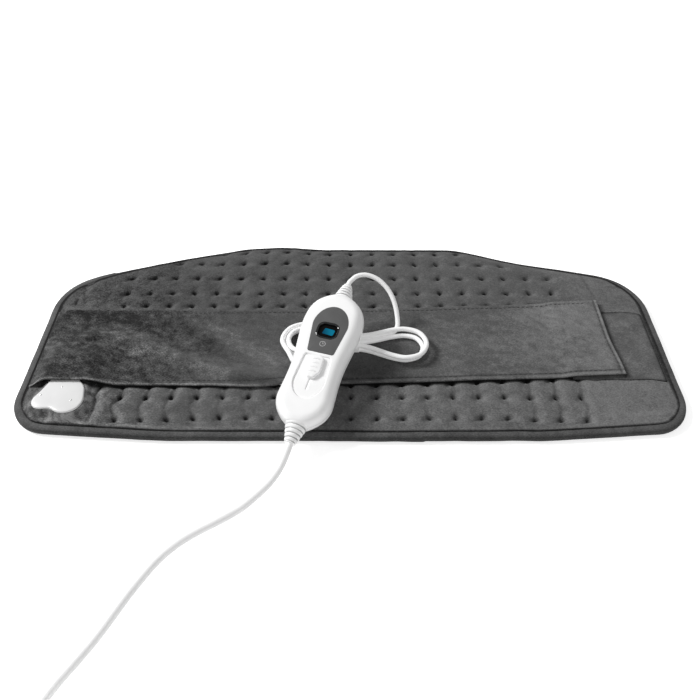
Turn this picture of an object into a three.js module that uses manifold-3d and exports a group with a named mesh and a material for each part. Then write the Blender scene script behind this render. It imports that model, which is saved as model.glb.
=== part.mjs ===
// Heating pad with a hand controller: a quilted, tufted pad with a bound edge and a fastening belt,
// a white controller with a display and a slide switch, its two cords, and the mains plug.
// Millimetres, +Z up. The origin is at the middle of the pad's underside, and the front faces -Y.

import * as THREE from 'three';
import { mergeVertices } from 'three/addons/utils/BufferGeometryUtils.js';
import Module from 'manifold-3d';

const wasm = await Module();
wasm.setup();

// Clearances
const FIT = 0.3;
const WELD = 1e-4;

// Facets of small round pieces
const SCREW_SIDES = 8;

// Pad outline
const PAD_WIDTH = 600;
const PAD_DEPTH = 256;
const FRONT_FLAT = 260;
const FRONT_DROP = 12;
const FRONT_BEND_RADIUS = 600;
const FRONT_CORNER_RADIUS = 36;
const SHOULDER_DROP = 55;
const SHOULDER_RADIUS = 55;
const HUMP_FLAT = 227;
const HUMP_RADIUS = 80;
const PAD_ARC_STEPS = 3;

// Pad layers
const BINDING_WIDTH = 11;
const BINDING_HEIGHT = 7.6;
const BINDING_TAPE = 1.3;
const BINDING_ROUND = 1.2;
const COVER_CLOTH = 0.6;
const FELT_THICKNESS = 0.6;
const FELT_INSET = 16;
const WIRE_DIAMETER = 1.4;
const WIRE_PITCH = 22;
const WIRE_INSET = 28;
const WIRE_BEND_STEPS = 4;
const CUTOUT_LENGTH = 14;
const CUTOUT_WIDTH = 6;
const CUTOUT_OFFSET = 150;

// Quilting
const CROWN_HEIGHT = 11;
const CROWN_EDGE = 7;
const CROWN_RUN = 34;
const TUFT_PITCH = 23;
const TUFT_SQUEEZE = 0.4;
const TUFT_FROM_FRONT = 20.3;
const TUFTED_WIDTH = 430;
const TUFT_EDGE = 18;
const MARGIN_CELLS = 3;

// Belt and its fastening
const BELT_WIDTH = 98;
const BELT_THICKNESS = 2.6;
const BELT_END_MARGIN = 49;
const BELT_LOW_X = -170;
const BELT_LOW_Y = -26.3;
const BELT_BOW = 7.3e-5;
const BELT_ROWS = 8;
const FASTENER_THICKNESS = 1;
const HOOK_LENGTH = 34;
const HOOK_FROM_END = 3;
const HOOK_FROM_EDGE = 9;
const HOOK_CORNER = 3;
const PATCH_LENGTH = 84;
const PATCH_WIDTH = 91;
const PATCH_MIDDLE_Y = -22.5;
const PATCH_RAMP = 34;
const TERMINAL_RAMP = 46;
const RIDGE_FLAT = 19;
const RIDGE_FOOT = 31;
const LEAST_COLUMN = 2;

// Terminal box on the pad
const TERMINAL_FROM_SIDE = 41;
const TERMINAL_FROM_FRONT = 40;
const TERMINAL_SEAT = 8;
const TERMINAL_BASE = 2;
const TERMINAL_HEIGHT = 8;
const TERMINAL_WALL = 1.6;
const TERMINAL_ROUND = 1.5;
const LOBE_SMALL = { x: -12.2, y: -8.6, radius: 8.6 };
const LOBE_LARGE = { x: 9.2, y: -8.2, radius: 14 };
const LOBE_REAR = { x: 0, y: 16, radius: 12 };
const LOBE_BRIDGE = { x: 1.4, y: -8.6, radius: 8.6 };
const LOBE_ARC_STEPS = 4;
const TERMINAL_SCREWS = [{ x: -14.5, y: -2.7 }, { x: 1.9, y: 6.5 }, { x: 13.7, y: -8.5 }];
const TERMINAL_SCREW = { head: 1.4, headHeight: 1.2, shank: 0.9 };
const TERMINAL_BLOCK = { width: 11, depth: 8, height: 3.4, x: 3.2, y: -4 };
const TERMINAL_GLAND = { flange: 3, neck: 2.5, nose: 3, tip: 2.5, length: 12 };

// Controller body, in its own frame: X across, Y towards the pad cord, Z out of the face
const BODY_LOWER_END = 69.5;
const BODY_UPPER_END = 65.5;
const BODY_PROFILE = [
  { y: -BODY_LOWER_END, halfWidth: 10.6, fullness: 0.16 },
  { y: -68, halfWidth: 13, fullness: 0.36 },
  { y: -64, halfWidth: 17.6, fullness: 0.64 },
  { y: -57.4, halfWidth: 22.5, fullness: 0.9 },
  { y: -49, halfWidth: 25, fullness: 1 },
  { y: -38, halfWidth: 24.6, fullness: 1 },
  { y: -22, halfWidth: 23.7, fullness: 1 },
  { y: -8, halfWidth: 24, fullness: 1 },
  { y: 10, halfWidth: 26, fullness: 1 },
  { y: 27, halfWidth: 28, fullness: 1 },
  { y: 38, halfWidth: 27.8, fullness: 1 },
  { y: 48, halfWidth: 26, fullness: 0.96 },
  { y: 55, halfWidth: 22.4, fullness: 0.78 },
  { y: 60.5, halfWidth: 17, fullness: 0.46 },
  { y: 64.2, halfWidth: 11.6, fullness: 0.14 },
  { y: BODY_UPPER_END, halfWidth: 9, fullness: 0 },
];
const BODY_STATIONS = 22;
const BODY_RING_POINTS = 20;
const BODY_ROUNDNESS = 2.6;
const BODY_END_RADIUS = 9;
const BODY_DOME = 15.5;
const BODY_DEPTH = 11;
const FACE_HEIGHT = 12.8;
const SHELL_WALL = 2;
const SHELL_END_WALL = 4;
const SHELL_ROOF = 2.6;

// Controller face
const PANEL_X = 0.8;
const PANEL_TOP = 48.2;
const PANEL_BOTTOM = -2.5;
const PANEL_HALF_WIDTH = 16.3;
const PANEL_FOOT_HALF_WIDTH = 12.3;
const PANEL_ARCH_START = 27;
const PANEL_THICKNESS = 1;
const FACE_ARC_STEPS = 8;
const WINDOW = { x: 0.3, y: 21.5, width: 20.4, height: 17.6, radius: 6.5 };
const BEZEL_RIM = 1.8;
const BEZEL_DEPTH = 2.4;
const BEZEL_PROUD = 0.4;
const LENS_THICKNESS = 1;
const MODULE_MARGIN = 1;
const RECESS_TOP = -5.2;
const RECESS_BOTTOM = -48.6;
const RECESS_HALF_WIDTH = 14;
const RECESS_TOP_HALF_WIDTH = 12.4;
const RECESS_ARC_START = -31;
const RECESS_DEPTH = 1.4;

// Slide switch
const KNOB_WIDTH = 14.4;
const KNOB_LENGTH = 22.7;
const KNOB_MIDDLE_Y = -17.2;
const KNOB_SHOULDER = 6.6;
const KNOB_FOOT_WIDTH = 6;
const KNOB_FOOT_RADIUS = 1.5;
const KNOB_PROUD = 2.6;
const KNOB_RADIUS = 4;
const KNOB_ROUND = 1;
const KNOB_RIBS = 4;
const KNOB_RIB_PITCH = 4.2;
const KNOB_RIB_RADIUS = 0.9;
const KNOB_TRAVEL = 12;
const STEM_WIDTH = 1.6;
const STEM_LENGTH = 6;
const STEM_FROM_KNOB = -8;
const STEM_DEPTH = 7.2;
const SWITCH_WIDTH = 9;
const SWITCH_LENGTH = 26;
const SWITCH_HEIGHT = 6.6;
const SWITCH_CHANNEL = 2.8;

// Controller inside
const BOARD_WIDTH = 30;
const BOARD_BACK = 40;
const BOARD_FRONT = -47;
const BOARD_THICKNESS = 1.6;
const BOARD_CORNER = 2;
const BOARD_TOP = 0.6;
const BOARD_RIB = 2;
const BOARD_RIB_PLACES = [-28, 27];
const SHELL_SCREW_PLACES = [{ x: 15, y: 46 }, { x: -15, y: 46 }, { x: 12.5, y: -54 }, { x: -12.5, y: -54 }];
const SHELL_SCREW = { head: 2.6, headHeight: 1.8, shank: 1.25, seat: -5, top: 7.5 };
const SHELL_BOSS = 3.4;
const SHELL_BOSS_TOP = 11;
const FUSE = { radius: 2.6, length: 20, y: 2 };
const TRIAC = { width: 10, depth: 4.6, height: 8, x: 8, y: -13 };
const CAPACITOR = { width: 13, depth: 7, height: 7.6, x: -6, y: -13 };

// Cord reliefs on the controller
const RELIEF_NECK = 5.5;
const RELIEF_FLANGE = 6.6;
const RELIEF_FLANGE_THICKNESS = 2;
const RELIEF_LENGTH = 17;
const RELIEF_RIBS = 5;
const RELIEF_GROOVE = 0.8;
const RELIEF_SIDES = 10;
const PAD_RELIEF = { base: 8.3, tip: 4 };
const MAINS_RELIEF = { base: 10.3, tip: 5 };

// Cords
const PAD_CORD_DIAMETER = 4.6;
const MAINS_CORD_DIAMETER = 7;
const CORD_SIDES = 8;
const LOOP_SIDES = 6;
const HANK_STEPS = 24;
const COIL_STEPS = 20;
const LEAD_STEPS = 18;
const TAIL_STEPS = 34;
const MAINS_STEPS = 26;
const END_STEPS = 8;
const SAMPLES_PER_DIAMETER = 4;
const NEIGHBOUR_DIAMETERS = 4;
const TIE_THICKNESS = 0.8;
const TIE_WIDTH = 5;

// Hank of the pad cord, lying on the belt
const HANK_X = 5.5;
const HANK_Y = -29.6;
const HANK_YAW = -3;
const HANK_HALF_RUN = 47.6;
const HANK_FOLD_RADIUS = 14.2;
const HANK_WAIST = 1.8;
const HANK_STEP = 5.9;
const HANK_LAYER = 5.2;
const HANK_START = 0.09;
const HANK_END = 2.465;

// Coil of the mains cord, lying on the table
const COIL_X = -162;
const COIL_Y = -401;
const COIL_RADIUS = 52;
const COIL_TURNS = 5.25;
const COIL_STEP = 7.8;
const COIL_LAYER = 7.6;
const COIL_START_ANGLE = 180;
const COIL_TIE_ANGLE = 45;

// Straight starts of the cords, measured on from the piece before
const PAD_CORD_START = [FIT, 2, 4];
const MAINS_CORD_START = [FIT, 4, 9];
const PAD_CORD_JOIN = [FIT, 3, 6];
const MAINS_CORD_JOIN = [FIT, 5, 10];

// Controller pose on the hank
const CONTROLLER_X = -25.7;
const CONTROLLER_Y = -60.7;
const CONTROLLER_YAW = 17;
const CONTROLLER_TILT = 12;
const CONTROLLER_OVER_HANK = 14;

// Plug
const PLUG_WIDTH = 35;
const PLUG_LENGTH = 26;
const PLUG_NOSE_WIDTH = 26;
const PLUG_TAIL_WIDTH = 16;
const PLUG_THICKNESS = 13.7;
const PLUG_ROUND = 2;
const PLUG_CORNER = 3.5;
const PLUG_PIN_RADIUS = 2;
const PLUG_PIN_LENGTH = 19;
const PLUG_PIN_SPACING = 18.6;
const PLUG_RELIEF_LENGTH = 22;
const PLUG_X = -60;

// Colours
const PLUSH = new THREE.MeshStandardMaterial({ color: 0x5c5c5c, roughness: 0.95, metalness: 0 });
const PLUSH_DARK = new THREE.MeshStandardMaterial({ color: 0x484848, roughness: 0.95, metalness: 0 });
const FELT = new THREE.MeshStandardMaterial({ color: 0xd8d5cc, roughness: 1, metalness: 0 });
const WHITE_PLASTIC = new THREE.MeshStandardMaterial({ color: 0xf4f4f2, roughness: 0.3, metalness: 0 });
const WHITE_CORD = new THREE.MeshStandardMaterial({ color: 0xf0f0ee, roughness: 0.45, metalness: 0 });
const GREY_PANEL = new THREE.MeshStandardMaterial({ color: 0x5e5e5e, roughness: 0.5, metalness: 0 });
const BLACK_GLOSS = new THREE.MeshStandardMaterial({ color: 0x0a0c0e, roughness: 0.1, metalness: 0 });
const BLUE_DISPLAY = new THREE.MeshStandardMaterial({ color: 0x086a85, roughness: 0.3, metalness: 0 });
const BOARD_GREEN = new THREE.MeshStandardMaterial({ color: 0x2e5a36, roughness: 0.6, metalness: 0 });
const STEEL = new THREE.MeshStandardMaterial({ color: 0xb0b2b4, roughness: 0.35, metalness: 1 });
const HEAT_WIRE = new THREE.MeshStandardMaterial({ color: 0xb8472f, roughness: 0.5, metalness: 0 });

// Solid joins and cuts

function solidOf(geometry) {
  const bare = geometry.clone();
  bare.deleteAttribute('normal');
  bare.deleteAttribute('uv');
  const merged = mergeVertices(bare, WELD);
  return new wasm.Manifold(new wasm.Mesh({
    numProp: 3,
    vertProperties: new Float32Array(merged.attributes.position.array),
    triVerts: new Uint32Array(merged.index.array),
  }));
}

function geometryOf(solid) {
  const mesh = solid.getMesh();
  const geometry = new THREE.BufferGeometry();
  geometry.setAttribute('position', new THREE.BufferAttribute(mesh.vertProperties, 3));
  geometry.setIndex(new THREE.BufferAttribute(mesh.triVerts, 1));
  geometry.computeVertexNormals();
  return geometry;
}

function join(base, ...others) {
  return geometryOf(others.reduce((solid, other) => solid.add(solidOf(other)), solidOf(base)));
}

function cut(base, ...tools) {
  return geometryOf(tools.reduce((solid, tool) => solid.subtract(solidOf(tool)), solidOf(base)));
}

function common(base, other) {
  return geometryOf(solidOf(base).intersect(solidOf(other)));
}

// Basic shapes

function prism(shape, bottom, top, arcSteps = PAD_ARC_STEPS) {
  const options = { depth: top - bottom, bevelEnabled: false, curveSegments: arcSteps };
  return new THREE.ExtrudeGeometry(shape, options).translate(0, 0, bottom);
}

function roundedPrism(shape, bottom, top, round, arcSteps = PAD_ARC_STEPS) {
  const options = {
    depth: top - bottom - 2 * round,
    bevelThickness: round,
    bevelSize: round,
    bevelOffset: -round,
    bevelSegments: 1,
    curveSegments: arcSteps,
  };
  return new THREE.ExtrudeGeometry(shape, options).translate(0, 0, bottom + round);
}

function block(width, depth, bottom, top, x = 0, y = 0) {
  return new THREE.BoxGeometry(width, depth, top - bottom).translate(x, y, (bottom + top) / 2);
}

function post(radius, bottom, top, x = 0, y = 0, sides = SCREW_SIDES) {
  return new THREE.CylinderGeometry(radius, radius, top - bottom, sides)
    .rotateX(Math.PI / 2)
    .translate(x, y, (bottom + top) / 2);
}

// A profile of [radius, height] pairs turned about Z.
function turned(profile, sides) {
  const points = profile.map(([radius, height]) => new THREE.Vector2(radius, height));
  return new THREE.LatheGeometry(points, sides).rotateX(Math.PI / 2);
}

// A convex outline with a fillet at each corner, given anticlockwise.
function filletedShape(corners) {
  const shape = new THREE.Shape();
  corners.forEach((corner, index) => {
    const before = corners[(index + corners.length - 1) % corners.length];
    const after = corners[(index + 1) % corners.length];
    const arriving = new THREE.Vector2(corner.x - before.x, corner.y - before.y).normalize();
    const leaving = new THREE.Vector2(after.x - corner.x, after.y - corner.y).normalize();
    const turn = Math.atan2(arriving.cross(leaving), arriving.dot(leaving));
    const setback = corner.radius * Math.tan(turn / 2);
    const startAngle = Math.atan2(-arriving.x, arriving.y);
    const centreX = corner.x - arriving.x * setback - arriving.y * corner.radius;
    const centreY = corner.y - arriving.y * setback + arriving.x * corner.radius;
    shape.absarc(centreX, centreY, corner.radius, startAngle, startAngle + turn, false);
  });
  shape.closePath();
  return shape;
}

// The same corners moved in by one distance, with their fillets tightened to match.
function insetCorners(corners, inset) {
  return corners.map((corner, index) => {
    const before = corners[(index + corners.length - 1) % corners.length];
    const after = corners[(index + 1) % corners.length];
    const arriving = new THREE.Vector2(corner.x - before.x, corner.y - before.y).normalize();
    const leaving = new THREE.Vector2(after.x - corner.x, after.y - corner.y).normalize();
    const spread = 1 + arriving.dot(leaving);
    const moveX = (-arriving.y - leaving.y) / spread;
    const moveY = (arriving.x + leaving.x) / spread;
    return { x: corner.x + moveX * inset, y: corner.y + moveY * inset, radius: corner.radius - inset };
  });
}

function roundedRectangle(width, height, radius, x = 0, y = 0) {
  return filletedShape([
    { x: x - width / 2, y: y - height / 2, radius },
    { x: x + width / 2, y: y - height / 2, radius },
    { x: x + width / 2, y: y + height / 2, radius },
    { x: x - width / 2, y: y + height / 2, radius },
  ]);
}

// A closed skin through rings of equal count, with a fan over each end.
function loft(rings) {
  const count = rings[0].length;
  const positions = [];
  const index = [];
  rings.forEach((ring) => ring.forEach((point) => positions.push(point.x, point.y, point.z)));
  for (let level = 0; level + 1 < rings.length; level += 1) {
    for (let side = 0; side < count; side += 1) {
      const next = (side + 1) % count;
      const a = level * count + side;
      const b = level * count + next;
      index.push(a, b, b + count, a, b + count, a + count);
    }
  }
  const capEnd = (ring, start, flip) => {
    const centre = new THREE.Vector3();
    ring.forEach((point) => centre.addScaledVector(point, 1 / count));
    const hub = positions.length / 3;
    positions.push(centre.x, centre.y, centre.z);
    for (let side = 0; side < count; side += 1) {
      const next = (side + 1) % count;
      index.push(hub, start + (flip ? next : side), start + (flip ? side : next));
    }
  };
  capEnd(rings[0], 0, true);
  capEnd(rings[rings.length - 1], (rings.length - 1) * count, false);
  const geometry = new THREE.BufferGeometry();
  geometry.setAttribute('position', new THREE.Float32BufferAttribute(positions, 3));
  geometry.setIndex(index);
  geometry.computeVertexNormals();
  return geometry;
}

// A closed sheet over a grid of columns and rows. place(column, row) gives { x, y, top, bottom }.
function sheet(columns, rows, place) {
  const positions = [];
  const index = [];
  const layer = columns.length * rows.length;
  const at = (i, j) => i * rows.length + j;
  const places = columns.map((column) => rows.map((row) => place(column, row)));
  places.flat().forEach(({ x, y, top }) => positions.push(x, y, top));
  places.flat().forEach(({ x, y, bottom }) => positions.push(x, y, bottom));
  const quad = (a, b, c, d) => index.push(a, b, c, a, c, d);
  for (let i = 0; i + 1 < columns.length; i += 1) {
    for (let j = 0; j + 1 < rows.length; j += 1) {
      quad(at(i, j), at(i + 1, j), at(i + 1, j + 1), at(i, j + 1));
      quad(at(i, j) + layer, at(i, j + 1) + layer, at(i + 1, j + 1) + layer, at(i + 1, j) + layer);
    }
  }
  const wall = (a, b) => quad(b, a, a + layer, b + layer);
  const lastColumn = columns.length - 1;
  const lastRow = rows.length - 1;
  for (let i = 0; i < lastColumn; i += 1) {
    wall(at(i, 0), at(i + 1, 0));
    wall(at(i + 1, lastRow), at(i, lastRow));
  }
  for (let j = 0; j < lastRow; j += 1) {
    wall(at(lastColumn, j), at(lastColumn, j + 1));
    wall(at(0, j + 1), at(0, j));
  }
  const geometry = new THREE.BufferGeometry();
  geometry.setAttribute('position', new THREE.Float32BufferAttribute(positions, 3));
  geometry.setIndex(index);
  geometry.computeVertexNormals();
  return geometry;
}

// A tube with one ring at each point of its centre line.
function woundTube(points, radius, sides) {
  const up = new THREE.Vector3(0, 0, 1);
  const rings = points.map((point, index) => {
    const before = points[Math.max(index - 1, 0)];
    const after = points[Math.min(index + 1, points.length - 1)];
    const along = new THREE.Vector3().subVectors(after, before).normalize();
    const side = new THREE.Vector3().crossVectors(up, along).normalize();
    const over = new THREE.Vector3().crossVectors(along, side);
    return Array.from({ length: sides }, (_, step) => {
      const angle = (2 * Math.PI * (step + 0.5)) / sides;
      return point.clone()
        .addScaledVector(side, radius * Math.cos(angle))
        .addScaledVector(over, radius * Math.sin(angle));
    });
  });
  return loft(rings);
}

// A plain stretch of cord through points chosen by hand.
function cordStretch(points, diameter, steps) {
  const path = new THREE.CatmullRomCurve3(points, false, 'centripetal');
  const corners = Array.from({ length: CORD_SIDES }, (_, step) => {
    const angle = (2 * Math.PI * step) / CORD_SIDES;
    return new THREE.Vector2(Math.cos(angle), Math.sin(angle)).multiplyScalar(diameter / 2);
  });
  const options = { steps, bevelEnabled: false, extrudePath: path };
  return new THREE.ExtrudeGeometry(new THREE.Shape(corners), options);
}

// The least free gap between stretches of one winding, measured on its centre line.
function leastSelfGap(points, diameter) {
  const path = new THREE.CatmullRomCurve3(points, false, 'centripetal');
  const length = path.getLength();
  const dense = path.getSpacedPoints(Math.ceil((SAMPLES_PER_DIAMETER * length) / diameter));
  const apart = Math.ceil(SAMPLES_PER_DIAMETER * NEIGHBOUR_DIAMETERS);
  let least = Infinity;
  for (let i = 0; i < dense.length; i += 1) {
    for (let j = i + apart; j < dense.length; j += 1) {
      least = Math.min(least, dense[i].distanceTo(dense[j]));
    }
  }
  return least - diameter;
}

// A square loop of tape round a bundle, in the X-Z plane of its own frame.
function tieLoop(width, height) {
  const outer = block(width + 2 * TIE_THICKNESS, TIE_WIDTH, -height / 2 - TIE_THICKNESS, height / 2 + TIE_THICKNESS);
  return cut(outer, block(width, 2 * TIE_WIDTH, -height / 2, height / 2));
}

function addPiece(group, name, geometry, material) {
  const mesh = new THREE.Mesh(geometry, material);
  mesh.name = name;
  group.add(mesh);
}

const part = new THREE.Group();

// Pad outline and layer heights

const halfWidth = PAD_WIDTH / 2;
const halfDepth = PAD_DEPTH / 2;
const PAD_CORNERS = [
  { x: -FRONT_FLAT / 2, y: -halfDepth, radius: FRONT_BEND_RADIUS },
  { x: FRONT_FLAT / 2, y: -halfDepth, radius: FRONT_BEND_RADIUS },
  { x: halfWidth, y: -halfDepth + FRONT_DROP, radius: FRONT_CORNER_RADIUS },
  { x: halfWidth, y: halfDepth - SHOULDER_DROP, radius: SHOULDER_RADIUS },
  { x: HUMP_FLAT / 2, y: halfDepth, radius: HUMP_RADIUS },
  { x: -HUMP_FLAT / 2, y: halfDepth, radius: HUMP_RADIUS },
  { x: -halfWidth, y: halfDepth - SHOULDER_DROP, radius: SHOULDER_RADIUS },
  { x: -halfWidth, y: -halfDepth + FRONT_DROP, radius: FRONT_CORNER_RADIUS },
];
const padShape = (inset) => filletedShape(insetCorners(PAD_CORNERS, inset));

const coverInset = BINDING_WIDTH + FIT;
const flangeInset = BINDING_TAPE + FIT;
const coverFlangeBottom = BINDING_TAPE + FIT;
const coverTop = coverFlangeBottom + COVER_CLOTH;
const feltBottom = coverTop + FIT;
const feltTop = feltBottom + FELT_THICKNESS;
const wireHeight = feltTop + FIT + WIRE_DIAMETER / 2;
const quiltBottom = wireHeight + WIRE_DIAMETER / 2 + FIT;
const quiltFlangeTop = BINDING_HEIGHT - BINDING_TAPE - FIT;

// How far a point lies inside the convex edge of the quilted cloth, or 0 outside it.
const quiltEdge = padShape(coverInset).getPoints(PAD_ARC_STEPS);
function insideQuilt(x, y) {
  let least = Infinity;
  quiltEdge.forEach((start, index) => {
    const run = quiltEdge[(index + 1) % quiltEdge.length].clone().sub(start);
    if (run.length() > WELD) {
      const reach = new THREE.Vector2(x, y).sub(start);
      least = Math.min(least, run.normalize().cross(reach));
    }
  });
  return Math.max(least, 0);
}

// Grid columns of the plain margin beside the tufts, from the tufted field to the binding.
const quiltSide = halfWidth - coverInset;
const tuftedEdge = (Math.floor(TUFTED_WIDTH / TUFT_PITCH) + 1) * (TUFT_PITCH / 2);
const quiltMargin = Array.from({ length: MARGIN_CELLS + 1 }, (_, step) => (
  THREE.MathUtils.lerp(tuftedEdge, quiltSide, step / MARGIN_CELLS)
));

// The crown of the quilting without its tufts.
function crownAt(x, y) {
  const share = Math.min(insideQuilt(x, y) / CROWN_RUN, 1);
  return CROWN_EDGE + (CROWN_HEIGHT - CROWN_EDGE) * Math.sin((share * Math.PI) / 2);
}

// Terminal box places
const terminalX = -halfWidth + TERMINAL_FROM_SIDE;
const terminalY = -halfDepth + TERMINAL_FROM_FRONT;
const terminalBaseBottom = TERMINAL_SEAT + FIT;
const terminalCoverBottom = terminalBaseBottom + TERMINAL_BASE + FIT;
const terminalTop = terminalCoverBottom + TERMINAL_HEIGHT;
const terminalRear = terminalY + LOBE_REAR.y + LOBE_REAR.radius;

function inTerminalSeat(x, y) {
  const beside = Math.abs(x - terminalX) < TERMINAL_FROM_SIDE - BINDING_WIDTH + TUFT_PITCH / 2;
  return beside && y < terminalRear + TUFT_PITCH / 2;
}

function makePadShell() {
  const whole = roundedPrism(padShape(0), 0, BINDING_HEIGHT, BINDING_ROUND);
  const window = prism(padShape(BINDING_WIDTH), -FIT, BINDING_HEIGHT + FIT);
  const groove = prism(padShape(BINDING_TAPE), BINDING_TAPE, BINDING_HEIGHT - BINDING_TAPE);
  addPiece(part, 'edge_binding', cut(whole, window, groove), PLUSH_DARK);

  const underside = prism(padShape(coverInset), 0, coverTop);
  const underFlange = prism(padShape(flangeInset), coverFlangeBottom, coverTop);
  addPiece(part, 'bottom_cover', join(underside, underFlange), PLUSH_DARK);
}

function makeQuiltedTop() {
  const half = TUFT_PITCH / 2;
  const firstRow = -halfDepth + TUFT_FROM_FRONT;
  const columns = [-quiltSide - half, ...quiltMargin.map((x) => -x).reverse()];
  for (let x = -tuftedEdge + half; x < tuftedEdge - WELD; x += half) {
    columns.push(x);
  }
  columns.push(...quiltMargin, quiltSide + half);
  const rowsBefore = Math.ceil(TUFT_FROM_FRONT / half);
  const rowsAfter = Math.ceil((PAD_DEPTH - TUFT_FROM_FRONT) / half);
  const rows = [];
  for (let step = -rowsBefore; step <= rowsAfter; step += 1) {
    rows.push(firstRow + step * half);
  }
  const onPitch = (distance) => Math.abs(distance / TUFT_PITCH - Math.round(distance / TUFT_PITCH)) < WELD;
  const height = (x, y) => {
    const crown = crownAt(x, y);
    if (inTerminalSeat(x, y)) {
      return Math.min(crown, TERMINAL_SEAT);
    }
    const tufted = Math.abs(x) <= TUFTED_WIDTH / 2 && insideQuilt(x, y) > TUFT_EDGE - BINDING_WIDTH;
    const sewn = tufted && onPitch(x) && onPitch(y - firstRow);
    return sewn ? THREE.MathUtils.lerp(quiltBottom, crown, TUFT_SQUEEZE) : crown;
  };
  const puffs = sheet(columns, rows, (x, y) => ({ x, y, top: height(x, y), bottom: quiltBottom }));
  const puffed = common(puffs, prism(padShape(coverInset), 0, 2 * CROWN_HEIGHT));
  const flange = prism(padShape(flangeInset), quiltBottom, quiltFlangeTop);
  addPiece(part, 'quilted_top', join(puffed, flange), PLUSH);
}

// How far the heating wire may reach to the side at one depth.
function wireReach(y) {
  let reach = quiltSide;
  while (reach > 0 && insideQuilt(reach, y) < WIRE_INSET - BINDING_WIDTH) {
    reach -= 1;
  }
  return reach;
}

function makeHeater() {
  const firstRun = -halfDepth + FRONT_DROP + WIRE_INSET;
  const runPairs = Math.floor((PAD_DEPTH - FRONT_DROP - 2 * WIRE_INSET) / WIRE_PITCH / 2);
  const runs = Array.from({ length: 2 * runPairs }, (_, run) => firstRun + run * WIRE_PITCH);
  const bend = WIRE_PITCH / 2;
  const points = [new THREE.Vector3(bend - wireReach(runs[0]), runs[0], wireHeight)];
  runs.slice(1).forEach((y, run) => {
    const heading = run % 2 === 0 ? 1 : -1;
    const turnX = Math.min(wireReach(y), wireReach(runs[run])) - bend;
    for (let step = 0; step <= WIRE_BEND_STEPS; step += 1) {
      const angle = Math.PI * (step / WIRE_BEND_STEPS - 0.5);
      const x = heading * (turnX + bend * Math.cos(angle));
      points.push(new THREE.Vector3(x, y - bend + bend * Math.sin(angle), wireHeight));
    }
  });
  const lastRun = runs[runs.length - 1];
  points.push(new THREE.Vector3(bend - wireReach(lastRun), lastRun, wireHeight));
  addPiece(part, 'heating_wire', woundTube(points, WIRE_DIAMETER / 2, LOOP_SIDES), HEAT_WIRE);

  const cutoutY = (runs[runPairs - 1] + runs[runPairs]) / 2;
  const cutoutShape = (x, margin) => roundedRectangle(
    CUTOUT_LENGTH + 2 * margin,
    CUTOUT_WIDTH + 2 * margin,
    CUTOUT_WIDTH / 2,
    x,
    cutoutY,
  );
  const places = [-CUTOUT_OFFSET, CUTOUT_OFFSET];
  const pockets = places.map((x) => prism(cutoutShape(x, FIT), feltBottom - FIT, feltTop + FIT));
  addPiece(part, 'heater_felt', cut(prism(padShape(FELT_INSET), feltBottom, feltTop), ...pockets), FELT);
  places.forEach((x, index) => {
    const body = prism(cutoutShape(x, 0), feltBottom, quiltBottom - FIT);
    addPiece(part, `thermal_cutout_${index + 1}`, body, STEEL);
  });
}

// Belt and fastening

const beltLeft = -halfWidth + coverInset + FIT;
const beltRight = halfWidth - BELT_END_MARGIN;
const patchRight = halfWidth - coverInset - FIT;
const patchLeft = patchRight - PATCH_LENGTH;
const beltMiddle = (x) => BELT_LOW_Y + BELT_BOW * (x - BELT_LOW_X) ** 2;
const overTerminalLeft = terminalX - LOBE_REAR.radius - TUFT_PITCH / 4;
const fastenerLift = 2 * (FASTENER_THICKNESS + FIT);
const beltTopFlat = CROWN_HEIGHT + FIT + BELT_THICKNESS;

// Pad cord from the hank, round the belt's front edge and under the belt to the terminal box.
const onQuilt = CROWN_HEIGHT + FIT + PAD_CORD_DIAMETER / 2;
const onBelt = beltTopFlat + FIT + PAD_CORD_DIAMETER / 2;
const TAIL_UNDER_BELT = [
  [-56, -75.8],
  [-65, -71.8],
  [-77, -70.2],
  [-92, -68.2],
  [-110, -64.4],
  [-133, -56.6],
  [-158, -47],
  [-180, -37],
  [-201, -27],
  [-222, -18.5],
  [-240, -16.5],
  [-252.5, -23],
  [-258.4, -34],
];

function distanceToTail(x, y) {
  let least = Infinity;
  for (let step = 0; step + 1 < TAIL_UNDER_BELT.length; step += 1) {
    const start = new THREE.Vector2(...TAIL_UNDER_BELT[step]);
    const run = new THREE.Vector2(...TAIL_UNDER_BELT[step + 1]).sub(start);
    const reach = new THREE.Vector2(x, y).sub(start);
    const share = THREE.MathUtils.clamp(reach.dot(run) / run.lengthSq(), 0, 1);
    least = Math.min(least, reach.addScaledVector(run, -share).length());
  }
  return least;
}

// The height of the belt's underside over the quilting, the cord, the terminal box and the patch.
function beltUnderside(x, y) {
  const lying = crownAt(x, y) + FIT;
  const share = (value) => THREE.MathUtils.clamp(value, 0, 1);
  const fullRight = terminalX + LOBE_REAR.radius + TUFT_PITCH / 4;
  const backStart = terminalRear + TERMINAL_GLAND.length;
  const fromLeft = share((x - beltLeft) / (overTerminalLeft - beltLeft));
  const fromRight = share((fullRight + TERMINAL_RAMP - x) / TERMINAL_RAMP);
  const fromBack = share((backStart + TERMINAL_RAMP - y) / TERMINAL_RAMP);
  const fromTail = share((RIDGE_FOOT - distanceToTail(x, y)) / (RIDGE_FOOT - RIDGE_FLAT));
  const fromPatch = share((x - patchLeft + PATCH_RAMP) / (PATCH_RAMP - FIT));
  const tailTop = CROWN_HEIGHT + FIT + PAD_CORD_DIAMETER;
  return Math.max(
    THREE.MathUtils.lerp(lying, tailTop + FIT, fromTail * fromLeft),
    THREE.MathUtils.lerp(lying, terminalTop + FIT, Math.min(fromLeft, fromRight) * fromBack),
    lying + fastenerLift * fromPatch,
  );
}

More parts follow.
